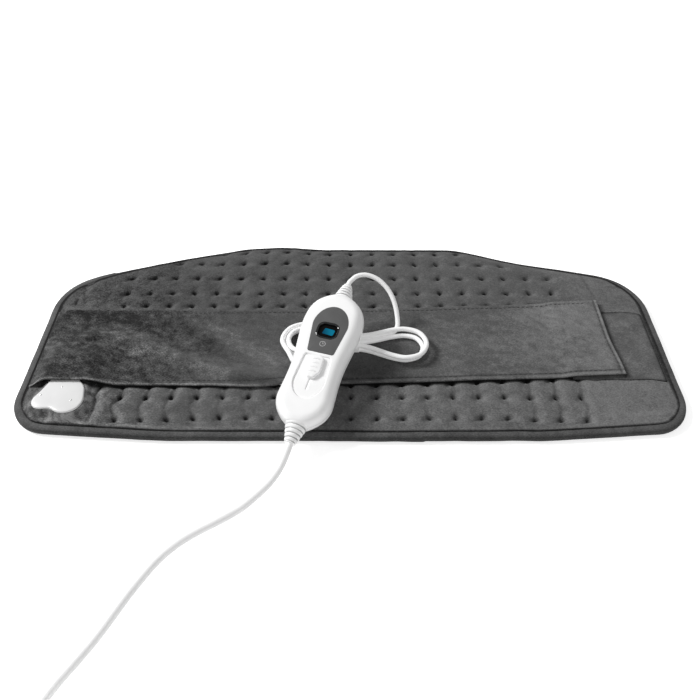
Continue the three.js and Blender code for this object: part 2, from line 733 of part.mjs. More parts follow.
function makeBelt() {
  const half = TUFT_PITCH / 2;
  const columns = [beltLeft, overTerminalLeft, ...quiltMargin.slice(0, -1).map((x) => -x).reverse()];
  for (let x = -tuftedEdge + half; x < HANK_X; x += half) {
    columns.push(x);
  }
  for (let x = Math.ceil(HANK_X / TUFT_PITCH) * TUFT_PITCH; x < beltRight - half; x += TUFT_PITCH) {
    columns.push(x);
  }
  columns.push(beltRight);
  const ordered = columns.filter((x, index) => index === 0 || x > columns[index - 1] + LEAST_COLUMN);
  const rows = Array.from({ length: BELT_ROWS + 1 }, (_, step) => BELT_WIDTH * (step / BELT_ROWS - 0.5));
  const belt = sheet(ordered, rows, (x, across) => {
    const y = beltMiddle(x) + across;
    const bottom = beltUnderside(x, y);
    return { x, y, top: bottom + BELT_THICKNESS, bottom };
  });
  addPiece(part, 'belt', belt, PLUSH);

  const patchColumns = [patchLeft, ...quiltMargin.filter((x) => x > patchLeft && x < patchRight), patchRight];
  const patchRows = [-PATCH_WIDTH / 2, 0, PATCH_WIDTH / 2];
  const patch = sheet(patchColumns, patchRows, (x, across) => {
    const bottom = crownAt(x, PATCH_MIDDLE_Y) + FIT;
    return { x, y: PATCH_MIDDLE_Y + across, top: bottom + FASTENER_THICKNESS, bottom };
  });
  addPiece(part, 'landing_patch', patch, PLUSH);

  const hookX = beltRight - HOOK_FROM_END - HOOK_LENGTH / 2;
  const hookBottom = CROWN_HEIGHT + FIT + FASTENER_THICKNESS + FIT;
  const hook = roundedRectangle(HOOK_LENGTH, BELT_WIDTH - 2 * HOOK_FROM_EDGE, HOOK_CORNER, hookX, beltMiddle(hookX));
  addPiece(part, 'belt_hook_strip', prism(hook, hookBottom, hookBottom + FASTENER_THICKNESS), PLUSH_DARK);
}

// Terminal box

// Two circles joined by their outer tangents.
function taperedSlot(first, second, inset) {
  const reach = new THREE.Vector2(second.x - first.x, second.y - first.y);
  const heading = Math.atan2(reach.y, reach.x);
  const flare = Math.acos((first.radius - second.radius) / reach.length());
  const shape = new THREE.Shape();
  shape.absarc(second.x, second.y, second.radius - inset, heading - flare, heading + flare, false);
  shape.absarc(first.x, first.y, first.radius - inset, heading + flare, heading - flare + 2 * Math.PI, false);
  shape.closePath();
  return shape;
}

function makeTerminal() {
  const box = new THREE.Group();
  box.position.set(terminalX, terminalY, 0);
  part.add(box);
  const legs = [[LOBE_SMALL, LOBE_REAR], [LOBE_LARGE, LOBE_REAR], [LOBE_SMALL, LOBE_BRIDGE]];
  const outline = (inset, bottom, top) => join(
    ...legs.map(([near, far]) => prism(taperedSlot(near, far, inset), bottom, top, LOBE_ARC_STEPS)),
  );
  const domed = join(
    ...legs.map(([near, far]) => roundedPrism(
      taperedSlot(near, far, 0),
      terminalCoverBottom - TERMINAL_ROUND,
      terminalTop,
      TERMINAL_ROUND,
      LOBE_ARC_STEPS,
    )),
  );
  const size = TERMINAL_SCREW;
  const bossRadius = size.head + FIT + TERMINAL_WALL / 2;
  const headSeat = terminalTop - size.headHeight - FIT - TERMINAL_WALL / 2;
  const screwBottom = terminalBaseBottom + TERMINAL_BASE / 2;
  const gland = TERMINAL_GLAND;
  const glandHeight = onQuilt;
  const glandWallY = LOBE_REAR.y + LOBE_REAR.radius;

  const room = outline(TERMINAL_WALL, terminalCoverBottom - 2 * TERMINAL_ROUND, terminalTop - TERMINAL_WALL);
  const bossTop = terminalTop - TERMINAL_WALL / 2;
  const bosses = TERMINAL_SCREWS.map(({ x, y }) => post(bossRadius, terminalCoverBottom, bossTop, x, y));
  const trimmed = cut(domed, block(PAD_DEPTH, PAD_DEPTH, 0, terminalCoverBottom));
  const shelled = join(cut(trimmed, room), ...bosses);
  const cover = cut(
    shelled,
    ...TERMINAL_SCREWS.map(({ x, y }) => post(size.head + FIT, headSeat, terminalTop + FIT, x, y)),
    ...TERMINAL_SCREWS.map(({ x, y }) => post(size.shank + FIT, 0, terminalTop, x, y)),
    new THREE.CylinderGeometry(gland.neck + FIT, gland.neck + FIT, 4 * TERMINAL_WALL, CORD_SIDES)
      .translate(0, glandWallY, glandHeight),
  );
  addPiece(box, 'terminal_cover', cover, WHITE_PLASTIC);

  const base = cut(
    outline(0, terminalBaseBottom, terminalBaseBottom + TERMINAL_BASE),
    ...TERMINAL_SCREWS.map(({ x, y }) => post(size.shank + FIT, 0, terminalTop, x, y)),
  );
  addPiece(box, 'terminal_base', base, WHITE_PLASTIC);

  TERMINAL_SCREWS.forEach(({ x, y }, index) => {
    const screw = turned([
      [0, screwBottom],
      [size.shank, screwBottom],
      [size.shank, headSeat + FIT],
      [size.head, headSeat + FIT],
      [size.head, headSeat + FIT + size.headHeight],
      [0, headSeat + FIT + size.headHeight],
    ], SCREW_SIDES);
    addPiece(box, `terminal_screw_${index + 1}`, screw.translate(x, y, 0), STEEL);
  });

  const wires = TERMINAL_BLOCK;
  const blockBottom = terminalCoverBottom;
  const blockTop = blockBottom + wires.height;
  const clampRadius = wires.width / 7;
  const clampFloor = (blockBottom + blockTop) / 2;
  const clamps = [-wires.width / 4, wires.width / 4].map((offset) => (
    post(clampRadius, clampFloor, blockTop + FIT, wires.x + offset, wires.y)
  ));
  const wholeBlock = block(wires.width, wires.depth, blockBottom, blockTop, wires.x, wires.y);
  const terminalBlock = cut(wholeBlock, ...clamps);
  addPiece(box, 'terminal_block', terminalBlock, WHITE_PLASTIC);

  const wallInside = LOBE_REAR.radius - TERMINAL_WALL;
  const insideY = LOBE_REAR.y + Math.sqrt(wallInside ** 2 - gland.flange ** 2) - 2 * FIT;
  const noseY = glandWallY + FIT;
  const glandProfile = [
    [0, insideY - TERMINAL_WALL],
    [gland.flange, insideY - TERMINAL_WALL],
    [gland.flange, insideY],
    [gland.neck, insideY],
    [gland.neck, noseY],
    [gland.nose, noseY],
    [gland.tip, noseY + gland.length],
    [0, noseY + gland.length],
  ];
  const glandPoints = glandProfile.map(([radius, along]) => new THREE.Vector2(radius, along));
  const glandSolid = new THREE.LatheGeometry(glandPoints, CORD_SIDES).translate(0, 0, glandHeight);
  addPiece(box, 'terminal_gland', glandSolid, WHITE_CORD);
  return new THREE.Vector3(terminalX, terminalY + noseY + gland.length, glandHeight);
}

// Controller

const bodyCurve = new THREE.CatmullRomCurve3(
  BODY_PROFILE.map(({ y, halfWidth: half, fullness }) => new THREE.Vector3(y, half, fullness)),
  false,
  'centripetal',
);

// The controller's outer skin, drawn in by one wall thickness where it makes the hollow.
function bodySkin(wall, endWall) {
  const power = 2 / BODY_ROUNDNESS;
  const bend = (value) => Math.sign(value) * Math.abs(value) ** power;
  const rings = bodyCurve.getPoints(BODY_STATIONS).map(({ x: along, y: half, z: share }) => {
    const fullness = THREE.MathUtils.clamp(share, 0, 1);
    const end = along > 0 ? BODY_UPPER_END : BODY_LOWER_END;
    const place = along * (1 - endWall / end);
    const dome = THREE.MathUtils.lerp(BODY_END_RADIUS, BODY_DOME, fullness) - wall;
    const depth = THREE.MathUtils.lerp(BODY_END_RADIUS, BODY_DEPTH, fullness) - wall;
    return Array.from({ length: BODY_RING_POINTS }, (_, step) => {
      const angle = (-2 * Math.PI * step) / BODY_RING_POINTS;
      const rise = bend(Math.sin(angle));
      const height = rise > 0 ? dome * rise : depth * rise;
      return new THREE.Vector3((half - wall) * bend(Math.cos(angle)), place, height);
    });
  });
  return loft(rings);
}

function panelShape(margin) {
  const shape = new THREE.Shape();
  const half = PANEL_HALF_WIDTH + margin;
  const rise = PANEL_TOP - PANEL_ARCH_START + margin;
  const foot = PANEL_FOOT_HALF_WIDTH + margin;
  shape.moveTo(PANEL_X - foot, PANEL_BOTTOM - margin);
  shape.lineTo(PANEL_X + foot, PANEL_BOTTOM - margin);
  shape.lineTo(PANEL_X + half, PANEL_ARCH_START);
  shape.absellipse(PANEL_X, PANEL_ARCH_START, half, rise, 0, Math.PI, false);
  shape.closePath();
  return shape;
}

function recessShape() {
  const shape = new THREE.Shape();
  const drop = RECESS_ARC_START - RECESS_BOTTOM;
  shape.moveTo(RECESS_TOP_HALF_WIDTH, RECESS_TOP);
  shape.lineTo(-RECESS_TOP_HALF_WIDTH, RECESS_TOP);
  shape.lineTo(-RECESS_HALF_WIDTH, RECESS_ARC_START);
  shape.absellipse(0, RECESS_ARC_START, RECESS_HALF_WIDTH, drop, Math.PI, 2 * Math.PI, false);
  shape.closePath();
  return shape;
}

function windowShape(margin) {
  const radius = WINDOW.radius + margin;
  return roundedRectangle(WINDOW.width + 2 * margin, WINDOW.height + 2 * margin, radius, WINDOW.x, WINDOW.y);
}

const stemY = KNOB_MIDDLE_Y + STEM_FROM_KNOB;
const channelMiddleY = stemY - KNOB_TRAVEL / 2;
const channelLength = STEM_LENGTH + KNOB_TRAVEL + 2 * FIT;
const channelWidth = STEM_WIDTH + 2 * FIT;
const recessFloor = FACE_HEIGHT - RECESS_DEPTH;
const boardBottom = BOARD_TOP - BOARD_THICKNESS;
const onBoard = BOARD_TOP + FIT;

function makeShells(controller) {
  const huge = 4 * BODY_LOWER_END;
  const skin = common(bodySkin(0, 0), block(huge, huge, -huge, FACE_HEIGHT));
  const hollow = common(
    bodySkin(SHELL_WALL, SHELL_END_WALL),
    block(huge, huge, -huge, FACE_HEIGHT - SHELL_ROOF),
  );
  const neckHole = new THREE.CylinderGeometry(RELIEF_NECK + FIT, RELIEF_NECK + FIT, huge, RELIEF_SIDES);
  const size = SHELL_SCREW;
  const pilot = size.shank + FIT;

  const upperHalf = block(huge, huge, FIT / 2, huge);
  const upperBosses = SHELL_SCREW_PLACES.map(({ x, y }) => post(SHELL_BOSS, FIT / 2, SHELL_BOSS_TOP, x, y));
  const upper = cut(
    join(cut(common(skin, upperHalf), hollow), ...upperBosses),
    prism(panelShape(FIT), FACE_HEIGHT - PANEL_THICKNESS - FIT, huge, FACE_ARC_STEPS),
    prism(windowShape(FIT), 0, huge),
    prism(recessShape(), recessFloor, huge, FACE_ARC_STEPS),
    block(channelWidth, channelLength, 0, huge, 0, channelMiddleY),
    neckHole,
    ...SHELL_SCREW_PLACES.map(({ x, y }) => post(pilot, -FIT, size.top + FIT, x, y)),
  );
  addPiece(controller, 'upper_shell', upper, WHITE_PLASTIC);

  const lowerHalf = block(huge, huge, -huge, -FIT / 2);
  const lowerSkin = common(skin, lowerHalf);
  const ribs = BOARD_RIB_PLACES.map((y) => block(huge, BOARD_RIB, -huge, boardBottom - FIT, 0, y));
  const posts = SHELL_SCREW_PLACES.map(({ x, y }) => post(SHELL_BOSS, -huge, -FIT / 2, x, y));
  const inside = common(join(ribs[0], ...ribs.slice(1), ...posts), lowerSkin);
  const lower = cut(
    join(cut(lowerSkin, hollow), inside),
    neckHole,
    ...SHELL_SCREW_PLACES.map(({ x, y }) => post(pilot, -huge, huge, x, y)),
    ...SHELL_SCREW_PLACES.map(({ x, y }) => post(size.head + FIT, -huge, size.seat, x, y)),
  );
  addPiece(controller, 'lower_shell', lower, WHITE_PLASTIC);

  SHELL_SCREW_PLACES.forEach(({ x, y }, index) => {
    const screw = turned([
      [0, size.seat - FIT - size.headHeight],
      [size.head, size.seat - FIT - size.headHeight],
      [size.head, size.seat - FIT],
      [size.shank, size.seat - FIT],
      [size.shank, size.top],
      [0, size.top],
    ], SCREW_SIDES);
    addPiece(controller, `shell_screw_${index + 1}`, screw.translate(x, y, 0), STEEL);
  });
}

function makeFace(controller) {
  const panel = cut(
    prism(panelShape(0), FACE_HEIGHT - PANEL_THICKNESS, FACE_HEIGHT, FACE_ARC_STEPS),
    prism(windowShape(FIT), 0, 2 * FACE_HEIGHT),
  );
  addPiece(controller, 'face_panel', panel, GREY_PANEL);

  const bezelBottom = FACE_HEIGHT - BEZEL_DEPTH;
  const bezel = cut(
    prism(windowShape(0), bezelBottom, FACE_HEIGHT + BEZEL_PROUD),
    prism(windowShape(-BEZEL_RIM), 0, 2 * FACE_HEIGHT),
  );
  addPiece(controller, 'display_bezel', bezel, BLACK_GLOSS);

  const lens = prism(windowShape(-BEZEL_RIM - FIT), bezelBottom, bezelBottom + LENS_THICKNESS);
  addPiece(controller, 'display_lens', lens, BLACK_GLOSS);

  const moduleWidth = WINDOW.width + 2 * MODULE_MARGIN;
  const moduleHeight = WINDOW.height + 2 * MODULE_MARGIN;
  const module = block(moduleWidth, moduleHeight, onBoard, bezelBottom - FIT, WINDOW.x, WINDOW.y);
  const roof = FACE_HEIGHT - SHELL_ROOF - FIT;
  const rebate = cut(
    block(2 * moduleWidth, 2 * moduleHeight, roof, FACE_HEIGHT, WINDOW.x, WINDOW.y),
    prism(windowShape(0), 0, 2 * FACE_HEIGHT),
  );
  addPiece(controller, 'display_module', cut(module, rebate), BLUE_DISPLAY);
}

function makeSwitch(controller) {
  const knobBottom = recessFloor + FIT;
  const knobTop = FACE_HEIGHT + KNOB_PROUD;
  const foot = KNOB_MIDDLE_Y - KNOB_LENGTH / 2;
  const head = KNOB_MIDDLE_Y + KNOB_LENGTH / 2;
  const outline = filletedShape([
    { x: -KNOB_FOOT_WIDTH / 2, y: foot, radius: KNOB_FOOT_RADIUS },
    { x: KNOB_FOOT_WIDTH / 2, y: foot, radius: KNOB_FOOT_RADIUS },
    { x: KNOB_WIDTH / 2, y: foot + KNOB_SHOULDER, radius: KNOB_RADIUS },
    { x: KNOB_WIDTH / 2, y: head, radius: KNOB_RADIUS },
    { x: -KNOB_WIDTH / 2, y: head, radius: KNOB_RADIUS },
    { x: -KNOB_WIDTH / 2, y: foot + KNOB_SHOULDER, radius: KNOB_RADIUS },
  ]);
  const body = roundedPrism(outline, knobBottom, knobTop, KNOB_ROUND);
  const ribLength = KNOB_WIDTH - 2 * KNOB_ROUND - KNOB_RIB_RADIUS;
  const ribs = Array.from({ length: KNOB_RIBS }, (_, step) => (
    new THREE.CylinderGeometry(KNOB_RIB_RADIUS, KNOB_RIB_RADIUS, ribLength, SCREW_SIDES)
      .rotateZ(Math.PI / 2)
      .translate(0, KNOB_MIDDLE_Y + (step - (KNOB_RIBS - 1) / 2) * KNOB_RIB_PITCH, knobTop)
  ));
  const stem = block(STEM_WIDTH, STEM_LENGTH, knobBottom - STEM_DEPTH, knobBottom + KNOB_ROUND, 0, stemY);
  addPiece(controller, 'slide_knob', join(body, ...ribs, stem), WHITE_PLASTIC);

  const switchTop = onBoard + SWITCH_HEIGHT;
  const base = cut(
    block(SWITCH_WIDTH, SWITCH_LENGTH, onBoard, switchTop, 0, channelMiddleY),
    block(channelWidth, channelLength, knobBottom - STEM_DEPTH - FIT, 2 * FACE_HEIGHT, 0, channelMiddleY),
  );
  addPiece(controller, 'slide_switch', base, GREY_PANEL);
}

function makeElectronics(controller) {
  const middleY = (BOARD_BACK + BOARD_FRONT) / 2;
  const outline = roundedRectangle(BOARD_WIDTH, BOARD_BACK - BOARD_FRONT, BOARD_CORNER, 0, middleY);
  addPiece(controller, 'circuit_board', prism(outline, boardBottom, BOARD_TOP), BOARD_GREEN);
  const fuse = new THREE.CylinderGeometry(FUSE.radius, FUSE.radius, FUSE.length, SCREW_SIDES)
    .rotateZ(Math.PI / 2)
    .translate(0, FUSE.y, onBoard + FUSE.radius);
  addPiece(controller, 'fuse', fuse, STEEL);
  const triac = block(TRIAC.width, TRIAC.depth, onBoard, onBoard + TRIAC.height, TRIAC.x, TRIAC.y);
  addPiece(controller, 'triac', triac, BLACK_GLOSS);
  const size = CAPACITOR;
  const capacitor = block(size.width, size.depth, onBoard, onBoard + size.height, size.x, size.y);
  addPiece(controller, 'suppressor_capacitor', capacitor, HEAT_WIRE);
}

// A ribbed, tapered cord relief along +Y, with a flange inside the housing wall.
function reliefSolid(wallY, wallThickness, neck, flange, base, tip, length) {
  const profile = [
    [0, wallY - wallThickness - FIT - RELIEF_FLANGE_THICKNESS],
    [flange, wallY - wallThickness - FIT - RELIEF_FLANGE_THICKNESS],
    [flange, wallY - wallThickness - FIT],
    [neck, wallY - wallThickness - FIT],
    [neck, wallY + FIT],
  ];
  const pitch = length / (2 * RELIEF_RIBS + 1);
  for (let step = 0; step <= 2 * RELIEF_RIBS; step += 1) {
    const radius = THREE.MathUtils.lerp(base, tip, step / (2 * RELIEF_RIBS));
    const dip = step % 2 === 0 ? 0 : RELIEF_GROOVE;
    profile.push([radius - dip, wallY + FIT + step * pitch + pitch / 4]);
    profile.push([radius - dip, wallY + FIT + (step + 1) * pitch - pitch / 4]);
  }
  profile[5][1] = wallY + FIT;
  profile[profile.length - 1][1] = wallY + FIT + length;
  profile.push([0, wallY + FIT + length]);
  return new THREE.LatheGeometry(profile.map(([x, y]) => new THREE.Vector2(x, y)), RELIEF_SIDES);
}

// Hank and coil routes

const hankLow = beltTopFlat + FIT + TIE_THICKNESS + FIT + PAD_CORD_DIAMETER / 2;
const hankTop = hankLow + HANK_LAYER + PAD_CORD_DIAMETER / 2;
const hankTurnLength = 4 * HANK_HALF_RUN + 2 * Math.PI * HANK_FOLD_RADIUS;
const runShare = (2 * HANK_HALF_RUN) / hankTurnLength;
const hankClimbMiddle = 1 + runShare / 2;
const hankHeading = THREE.MathUtils.degToRad(HANK_YAW);

// A point of the hank after some turns: along the back run, the left fold, the front run, the right fold.
function hankPoint(turns) {
  const spread = HANK_STEP * Math.abs(turns - hankClimbMiddle);
  const fold = HANK_FOLD_RADIUS + spread;
  const share = turns - Math.floor(turns);
  const half = share < 0.5 ? 1 : -1;
  const along = share < 0.5 ? share : share - 0.5;
  let x = 0;
  let y = 0;
  if (along < runShare) {
    const reach = 1 - (2 * along) / runShare;
    const drawnIn = (HANK_FOLD_RADIUS - HANK_WAIST) * 0.5 * (1 + Math.cos(Math.PI * reach));
    x = HANK_HALF_RUN * reach;
    y = fold - drawnIn;
  } else {
    const angle = (Math.PI * (along - runShare)) / (0.5 - runShare);
    x = -HANK_HALF_RUN - fold * Math.sin(angle);
    y = fold * Math.cos(angle);
  }
  const climb = THREE.MathUtils.smoothstep(turns, 1, 1 + runShare);
  const z = hankLow + HANK_LAYER * climb;
  const point = new THREE.Vector3(half * x, half * y, z);
  return point.applyAxisAngle(new THREE.Vector3(0, 0, 1), hankHeading).add(new THREE.Vector3(HANK_X, HANK_Y, 0));
}

// Lengthens a winding at both ends by a straight stub of one diameter.
function withStubs(points, diameter) {
  const first = new THREE.Vector3().subVectors(points[0], points[1]).setZ(0).setLength(diameter);
  const last = points.length - 1;
  const final = new THREE.Vector3().subVectors(points[last], points[last - 1]).setZ(0).setLength(diameter);
  return [first.add(points[0]), ...points, final.add(points[last])];
}

function sampled(from, to, stepsPerTurn, pointAt) {
  const steps = Math.ceil((to - from) * stepsPerTurn);
  return Array.from({ length: steps + 1 }, (_, step) => pointAt(from + ((to - from) * step) / steps));
}

const coilLow = TIE_THICKNESS + FIT + MAINS_CORD_DIAMETER / 2;

// A point of the coil after some turns: in along the lower layer and out along the upper one.
function coilPoint(turns) {
  const middle = COIL_TURNS / 2;
  const radius = COIL_RADIUS - COIL_STEP * (middle - Math.abs(turns - middle));
  const angle = THREE.MathUtils.degToRad(COIL_START_ANGLE) + 2 * Math.PI * turns;
  const climb = THREE.MathUtils.smoothstep(turns, middle - 0.25, middle + 0.25);
  const z = coilLow + COIL_LAYER * climb;
  return new THREE.Vector3(COIL_X + radius * Math.cos(angle), COIL_Y + radius * Math.sin(angle), z);
}

// The point one clearance beyond the end of a path, and the straight run on from there.
function runOn(points, fromStart, distances) {
  const end = fromStart ? points[0] : points[points.length - 1];
  const inner = fromStart ? points[1] : points[points.length - 2];
  const out = new THREE.Vector3().subVectors(end, inner).normalize();
  return distances.map((distance) => end.clone().addScaledVector(out, distance));
}

function makeWindings() {
  const hank = withStubs(sampled(HANK_START, HANK_END, HANK_STEPS, hankPoint), PAD_CORD_DIAMETER);
  addPiece(part, 'pad_cord_hank', woundTube(hank, PAD_CORD_DIAMETER / 2, LOOP_SIDES), WHITE_CORD);
  console.log(`hank least self gap ${leastSelfGap(hank, PAD_CORD_DIAMETER).toFixed(2)} mm`);

  const coil = withStubs(sampled(0, COIL_TURNS, COIL_STEPS, coilPoint), MAINS_CORD_DIAMETER);
  addPiece(part, 'mains_cord_coil', woundTube(coil, MAINS_CORD_DIAMETER / 2, LOOP_SIDES), WHITE_CORD);
  console.log(`coil least self gap ${leastSelfGap(coil, MAINS_CORD_DIAMETER).toFixed(2)} mm`);

  const bundleBack = HANK_WAIST + HANK_STEP + PAD_CORD_DIAMETER / 2 + FIT;
  const bundleFront = HANK_WAIST + HANK_STEP / 2 + PAD_CORD_DIAMETER / 2 + 2 * FIT;
  const bundleHeight = HANK_LAYER + PAD_CORD_DIAMETER + 2 * FIT;
  const hankTie = tieLoop(bundleBack + bundleFront, bundleHeight)
    .translate((bundleBack - bundleFront) / 2, 0, hankLow + HANK_LAYER / 2)
    .rotateZ(Math.PI / 2 + hankHeading)
    .translate(HANK_X, HANK_Y, 0);
  addPiece(part, 'hank_tie', hankTie, WHITE_PLASTIC);

  const coilOuter = COIL_RADIUS + MAINS_CORD_DIAMETER / 2 + FIT;
  const coilInner = COIL_RADIUS - COIL_STEP * (COIL_TURNS / 2) - MAINS_CORD_DIAMETER / 2 - FIT;
  const coilHeight = COIL_LAYER + MAINS_CORD_DIAMETER + 2 * FIT;
  const coilTie = tieLoop(coilOuter - coilInner, coilHeight)
    .translate((coilOuter + coilInner) / 2, 0, coilLow + COIL_LAYER / 2)
    .rotateZ(THREE.MathUtils.degToRad(COIL_TIE_ANGLE))
    .translate(COIL_X, COIL_Y, 0);
  addPiece(part, 'coil_tie', coilTie, WHITE_PLASTIC);
  return { hank, coil };
}

function makeController() {
  const controller = new THREE.Group();
  const tilt = THREE.MathUtils.degToRad(CONTROLLER_TILT);
  const axisOverHank = hankTop + FIT + BODY_DEPTH / Math.cos(tilt);
  const height = axisOverHank - CONTROLLER_OVER_HANK * Math.sin(tilt);
  controller.position.set(CONTROLLER_X, CONTROLLER_Y, height);
  controller.rotation.set(tilt, 0, -THREE.MathUtils.degToRad(CONTROLLER_YAW), 'ZXY');
  part.add(controller);
  makeShells(controller);
  makeFace(controller);
  makeSwitch(controller);
  makeElectronics(controller);
  const relief = (wallY, { base, tip }) => reliefSolid(
    wallY,
    SHELL_END_WALL,
    RELIEF_NECK,
    RELIEF_FLANGE,
    base,
    tip,
    RELIEF_LENGTH,
  );
  addPiece(controller, 'pad_cord_relief', relief(BODY_UPPER_END, PAD_RELIEF), WHITE_CORD);
  addPiece(controller, 'mains_cord_relief', relief(BODY_LOWER_END, MAINS_RELIEF).rotateZ(Math.PI), WHITE_CORD);
  controller.updateMatrixWorld(true);
  const tipAt = (along) => controller.localToWorld(new THREE.Vector3(0, along, 0));
  const upperTip = BODY_UPPER_END + FIT + RELIEF_LENGTH;
  const lowerTip = BODY_LOWER_END + FIT + RELIEF_LENGTH;
  return {
    padCordStart: PAD_CORD_START.map((distance) => tipAt(upperTip + distance)),
    mainsCordStart: MAINS_CORD_START.map((distance) => tipAt(-lowerTip - distance)),
  };
}

function makeCords({ hank, coil }, { padCordStart, mainsCordStart }, glandEnd) {
  const points = (list) => list.map(([x, y, z]) => new THREE.Vector3(x, y, z));
  const lead = [
    ...padCordStart,
    ...points([
      [2.9, 24.6, 53.2],
      [5.8, 27, 54],
      [10, 28.8, 54.4],
      [15.6, 29.4, 54.1],
      [22, 28.4, 52.7],
      [27.8, 26.2, 50.4],
      [33, 22.9, 47.2],
      [37.5, 18.8, 43.2],
      [41.1, 14, 38.4],
      [43.7, 8.6, 33],
      [45.3, 2.4, 27.4],
      [46, -4.1, 21.9],
      [45.4, -7.3, 19.9],
      [43.9, -10.1, hankLow + 1],
      [41.6, -12.3, hankLow + 0.2],
    ]),
    ...runOn(hank, true, PAD_CORD_JOIN).reverse(),
  ];
  addPiece(part, 'pad_cord_lead', cordStretch(lead, PAD_CORD_DIAMETER, LEAD_STEPS), WHITE_CORD);

  const tailTop = runOn(hank, false, PAD_CORD_JOIN);
  const behindGland = (distance) => glandEnd.clone().add(new THREE.Vector3(0, distance, 0));
  const tail = [
    ...tailTop,
    ...points([
      [-49.6, -56.4, 22],
      [-43.6, -58.8, 21.4],
      [-35.5, -59.4, 19.3],
      [-27, -60.6, onBelt + 1.1],
      [-20.4, -65.4, onBelt + 0.1],
      [-17.6, -73, onBelt],
      [-19.6, -80.6, onQuilt + 1],
      [-26.6, -86, onQuilt],
      [-36, -86.6, onQuilt],
      [-46.6, -82.2, onQuilt],
    ]),
    ...TAIL_UNDER_BELT.map(([x, y]) => new THREE.Vector3(x, y, onQuilt)),
    ...PAD_CORD_JOIN.map(behindGland).reverse(),
  ];
  addPiece(part, 'pad_cord_tail', cordStretch(tail, PAD_CORD_DIAMETER, TAIL_STEPS), WHITE_CORD);

  const onTable = MAINS_CORD_DIAMETER / 2;
  const mains = [
    ...mainsCordStart,
    ...points([
      [-57.6, -161, 9.8],
      [-65.5, -173.5, 6.4],
      [-75.2, -183.8, 4.5],
      [-86.9, -195.2, onTable + 0.1],
      [-103, -206.5, onTable],
      [-118.8, -216.1, onTable],
      [-134, -227.1, onTable],
      [-145.8, -237.8, onTable],
      [-154.4, -253.8, onTable],
      [-162.8, -269.5, onTable],
      [-169.8, -283.8, onTable],
      [-177.8, -299.5, onTable],
      [-187.1, -314.8, onTable],
      [-197.5, -331.5, onTable],
      [-206.5, -350, onTable],
      [-212, -369, onTable + 0.4],
    ]),
    ...runOn(coil, true, MAINS_CORD_JOIN).reverse(),
  ];
  addPiece(part, 'mains_cord_lead', cordStretch(mains, MAINS_CORD_DIAMETER, MAINS_STEPS), WHITE_CORD);
  return runOn(coil, false, MAINS_CORD_JOIN);
}

function makePlug(cordEnd) {
  const axisHeight = PLUG_THICKNESS / 2;
  const y = cordEnd[0].y;
  const plug = new THREE.Group();
  plug.position.set(PLUG_X, y, axisHeight);
  part.add(plug);
  const outline = filletedShape([
    { x: -PLUG_LENGTH, y: -PLUG_TAIL_WIDTH / 2, radius: PLUG_CORNER },
    { x: -PLUG_LENGTH / 2, y: -PLUG_WIDTH / 2, radius: PLUG_CORNER },
    { x: 0, y: -PLUG_NOSE_WIDTH / 2, radius: PLUG_CORNER },
    { x: 0, y: PLUG_NOSE_WIDTH / 2, radius: PLUG_CORNER },
    { x: -PLUG_LENGTH / 2, y: PLUG_WIDTH / 2, radius: PLUG_CORNER },
    { x: -PLUG_LENGTH, y: PLUG_TAIL_WIDTH / 2, radius: PLUG_CORNER },
  ]);
  const pinPlaces = [-PLUG_PIN_SPACING / 2, PLUG_PIN_SPACING / 2];
  const socketDepth = PLUG_LENGTH / 3;
  const alongX = (radius, from, to, across) => new THREE.CylinderGeometry(radius, radius, to - from, RELIEF_SIDES)
    .rotateZ(Math.PI / 2)
    .translate((from + to) / 2, across, 0);
  const sockets = pinPlaces.map((across) => alongX(PLUG_PIN_RADIUS + FIT, -socketDepth, FIT, across));
  const cordHole = alongX(RELIEF_NECK + FIT, -PLUG_LENGTH - FIT, -PLUG_LENGTH + socketDepth, 0);
  const body = cut(roundedPrism(outline, -axisHeight, axisHeight, PLUG_ROUND), ...sockets, cordHole);
  addPiece(plug, 'plug_body', body, WHITE_PLASTIC);
  pinPlaces.forEach((across, index) => {
    const pin = alongX(PLUG_PIN_RADIUS, -socketDepth + FIT, PLUG_PIN_LENGTH, across);
    addPiece(plug, `plug_pin_${index + 1}`, pin, STEEL);
  });
  const pitch = PLUG_RELIEF_LENGTH / (2 * RELIEF_RIBS + 1);
  const profile = [[0, socketDepth - 2 * FIT], [RELIEF_NECK, socketDepth - 2 * FIT], [RELIEF_NECK, -FIT]];
  for (let step = 0; step <= 2 * RELIEF_RIBS; step += 1) {
    const radius = THREE.MathUtils.lerp(RELIEF_NECK + FIT, MAINS_RELIEF.tip, step / (2 * RELIEF_RIBS));
    const dip = step % 2 === 0 ? 0 : RELIEF_GROOVE;
    profile.push([radius - dip, -FIT - step * pitch - pitch / 4]);
    profile.push([radius - dip, -FIT - (step + 1) * pitch + pitch / 4]);
  }
  const tail = -FIT - PLUG_RELIEF_LENGTH;
  profile.push([profile[profile.length - 1][0], tail], [0, tail]);
  const relief = new THREE.LatheGeometry(
    profile.reverse().map(([radius, along]) => new THREE.Vector2(radius, along)),
    RELIEF_SIDES,
  ).rotateZ(-Math.PI / 2).translate(-PLUG_LENGTH, 0, 0);
  addPiece(plug, 'plug_relief', relief, WHITE_CORD);
  const tailX = PLUG_X - PLUG_LENGTH + tail;
  const beforePlug = MAINS_CORD_JOIN.map((distance) => new THREE.Vector3(tailX - distance, y, axisHeight));
  const end = [...cordEnd, ...beforePlug.reverse()];
  addPiece(part, 'mains_cord_end', cordStretch(end, MAINS_CORD_DIAMETER, END_STEPS), WHITE_CORD);
}

makePadShell();
makeQuiltedTop();
makeHeater();
makeBelt();
const glandEnd = makeTerminal();
const windings = makeWindings();
const cordStarts = makeController();
const coilEnd = makeCords(windings, cordStarts, glandEnd);
makePlug(coilEnd);

export default part;
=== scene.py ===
"""A plush heating pad with a corded hand controller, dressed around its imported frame."""

from __future__ import annotations

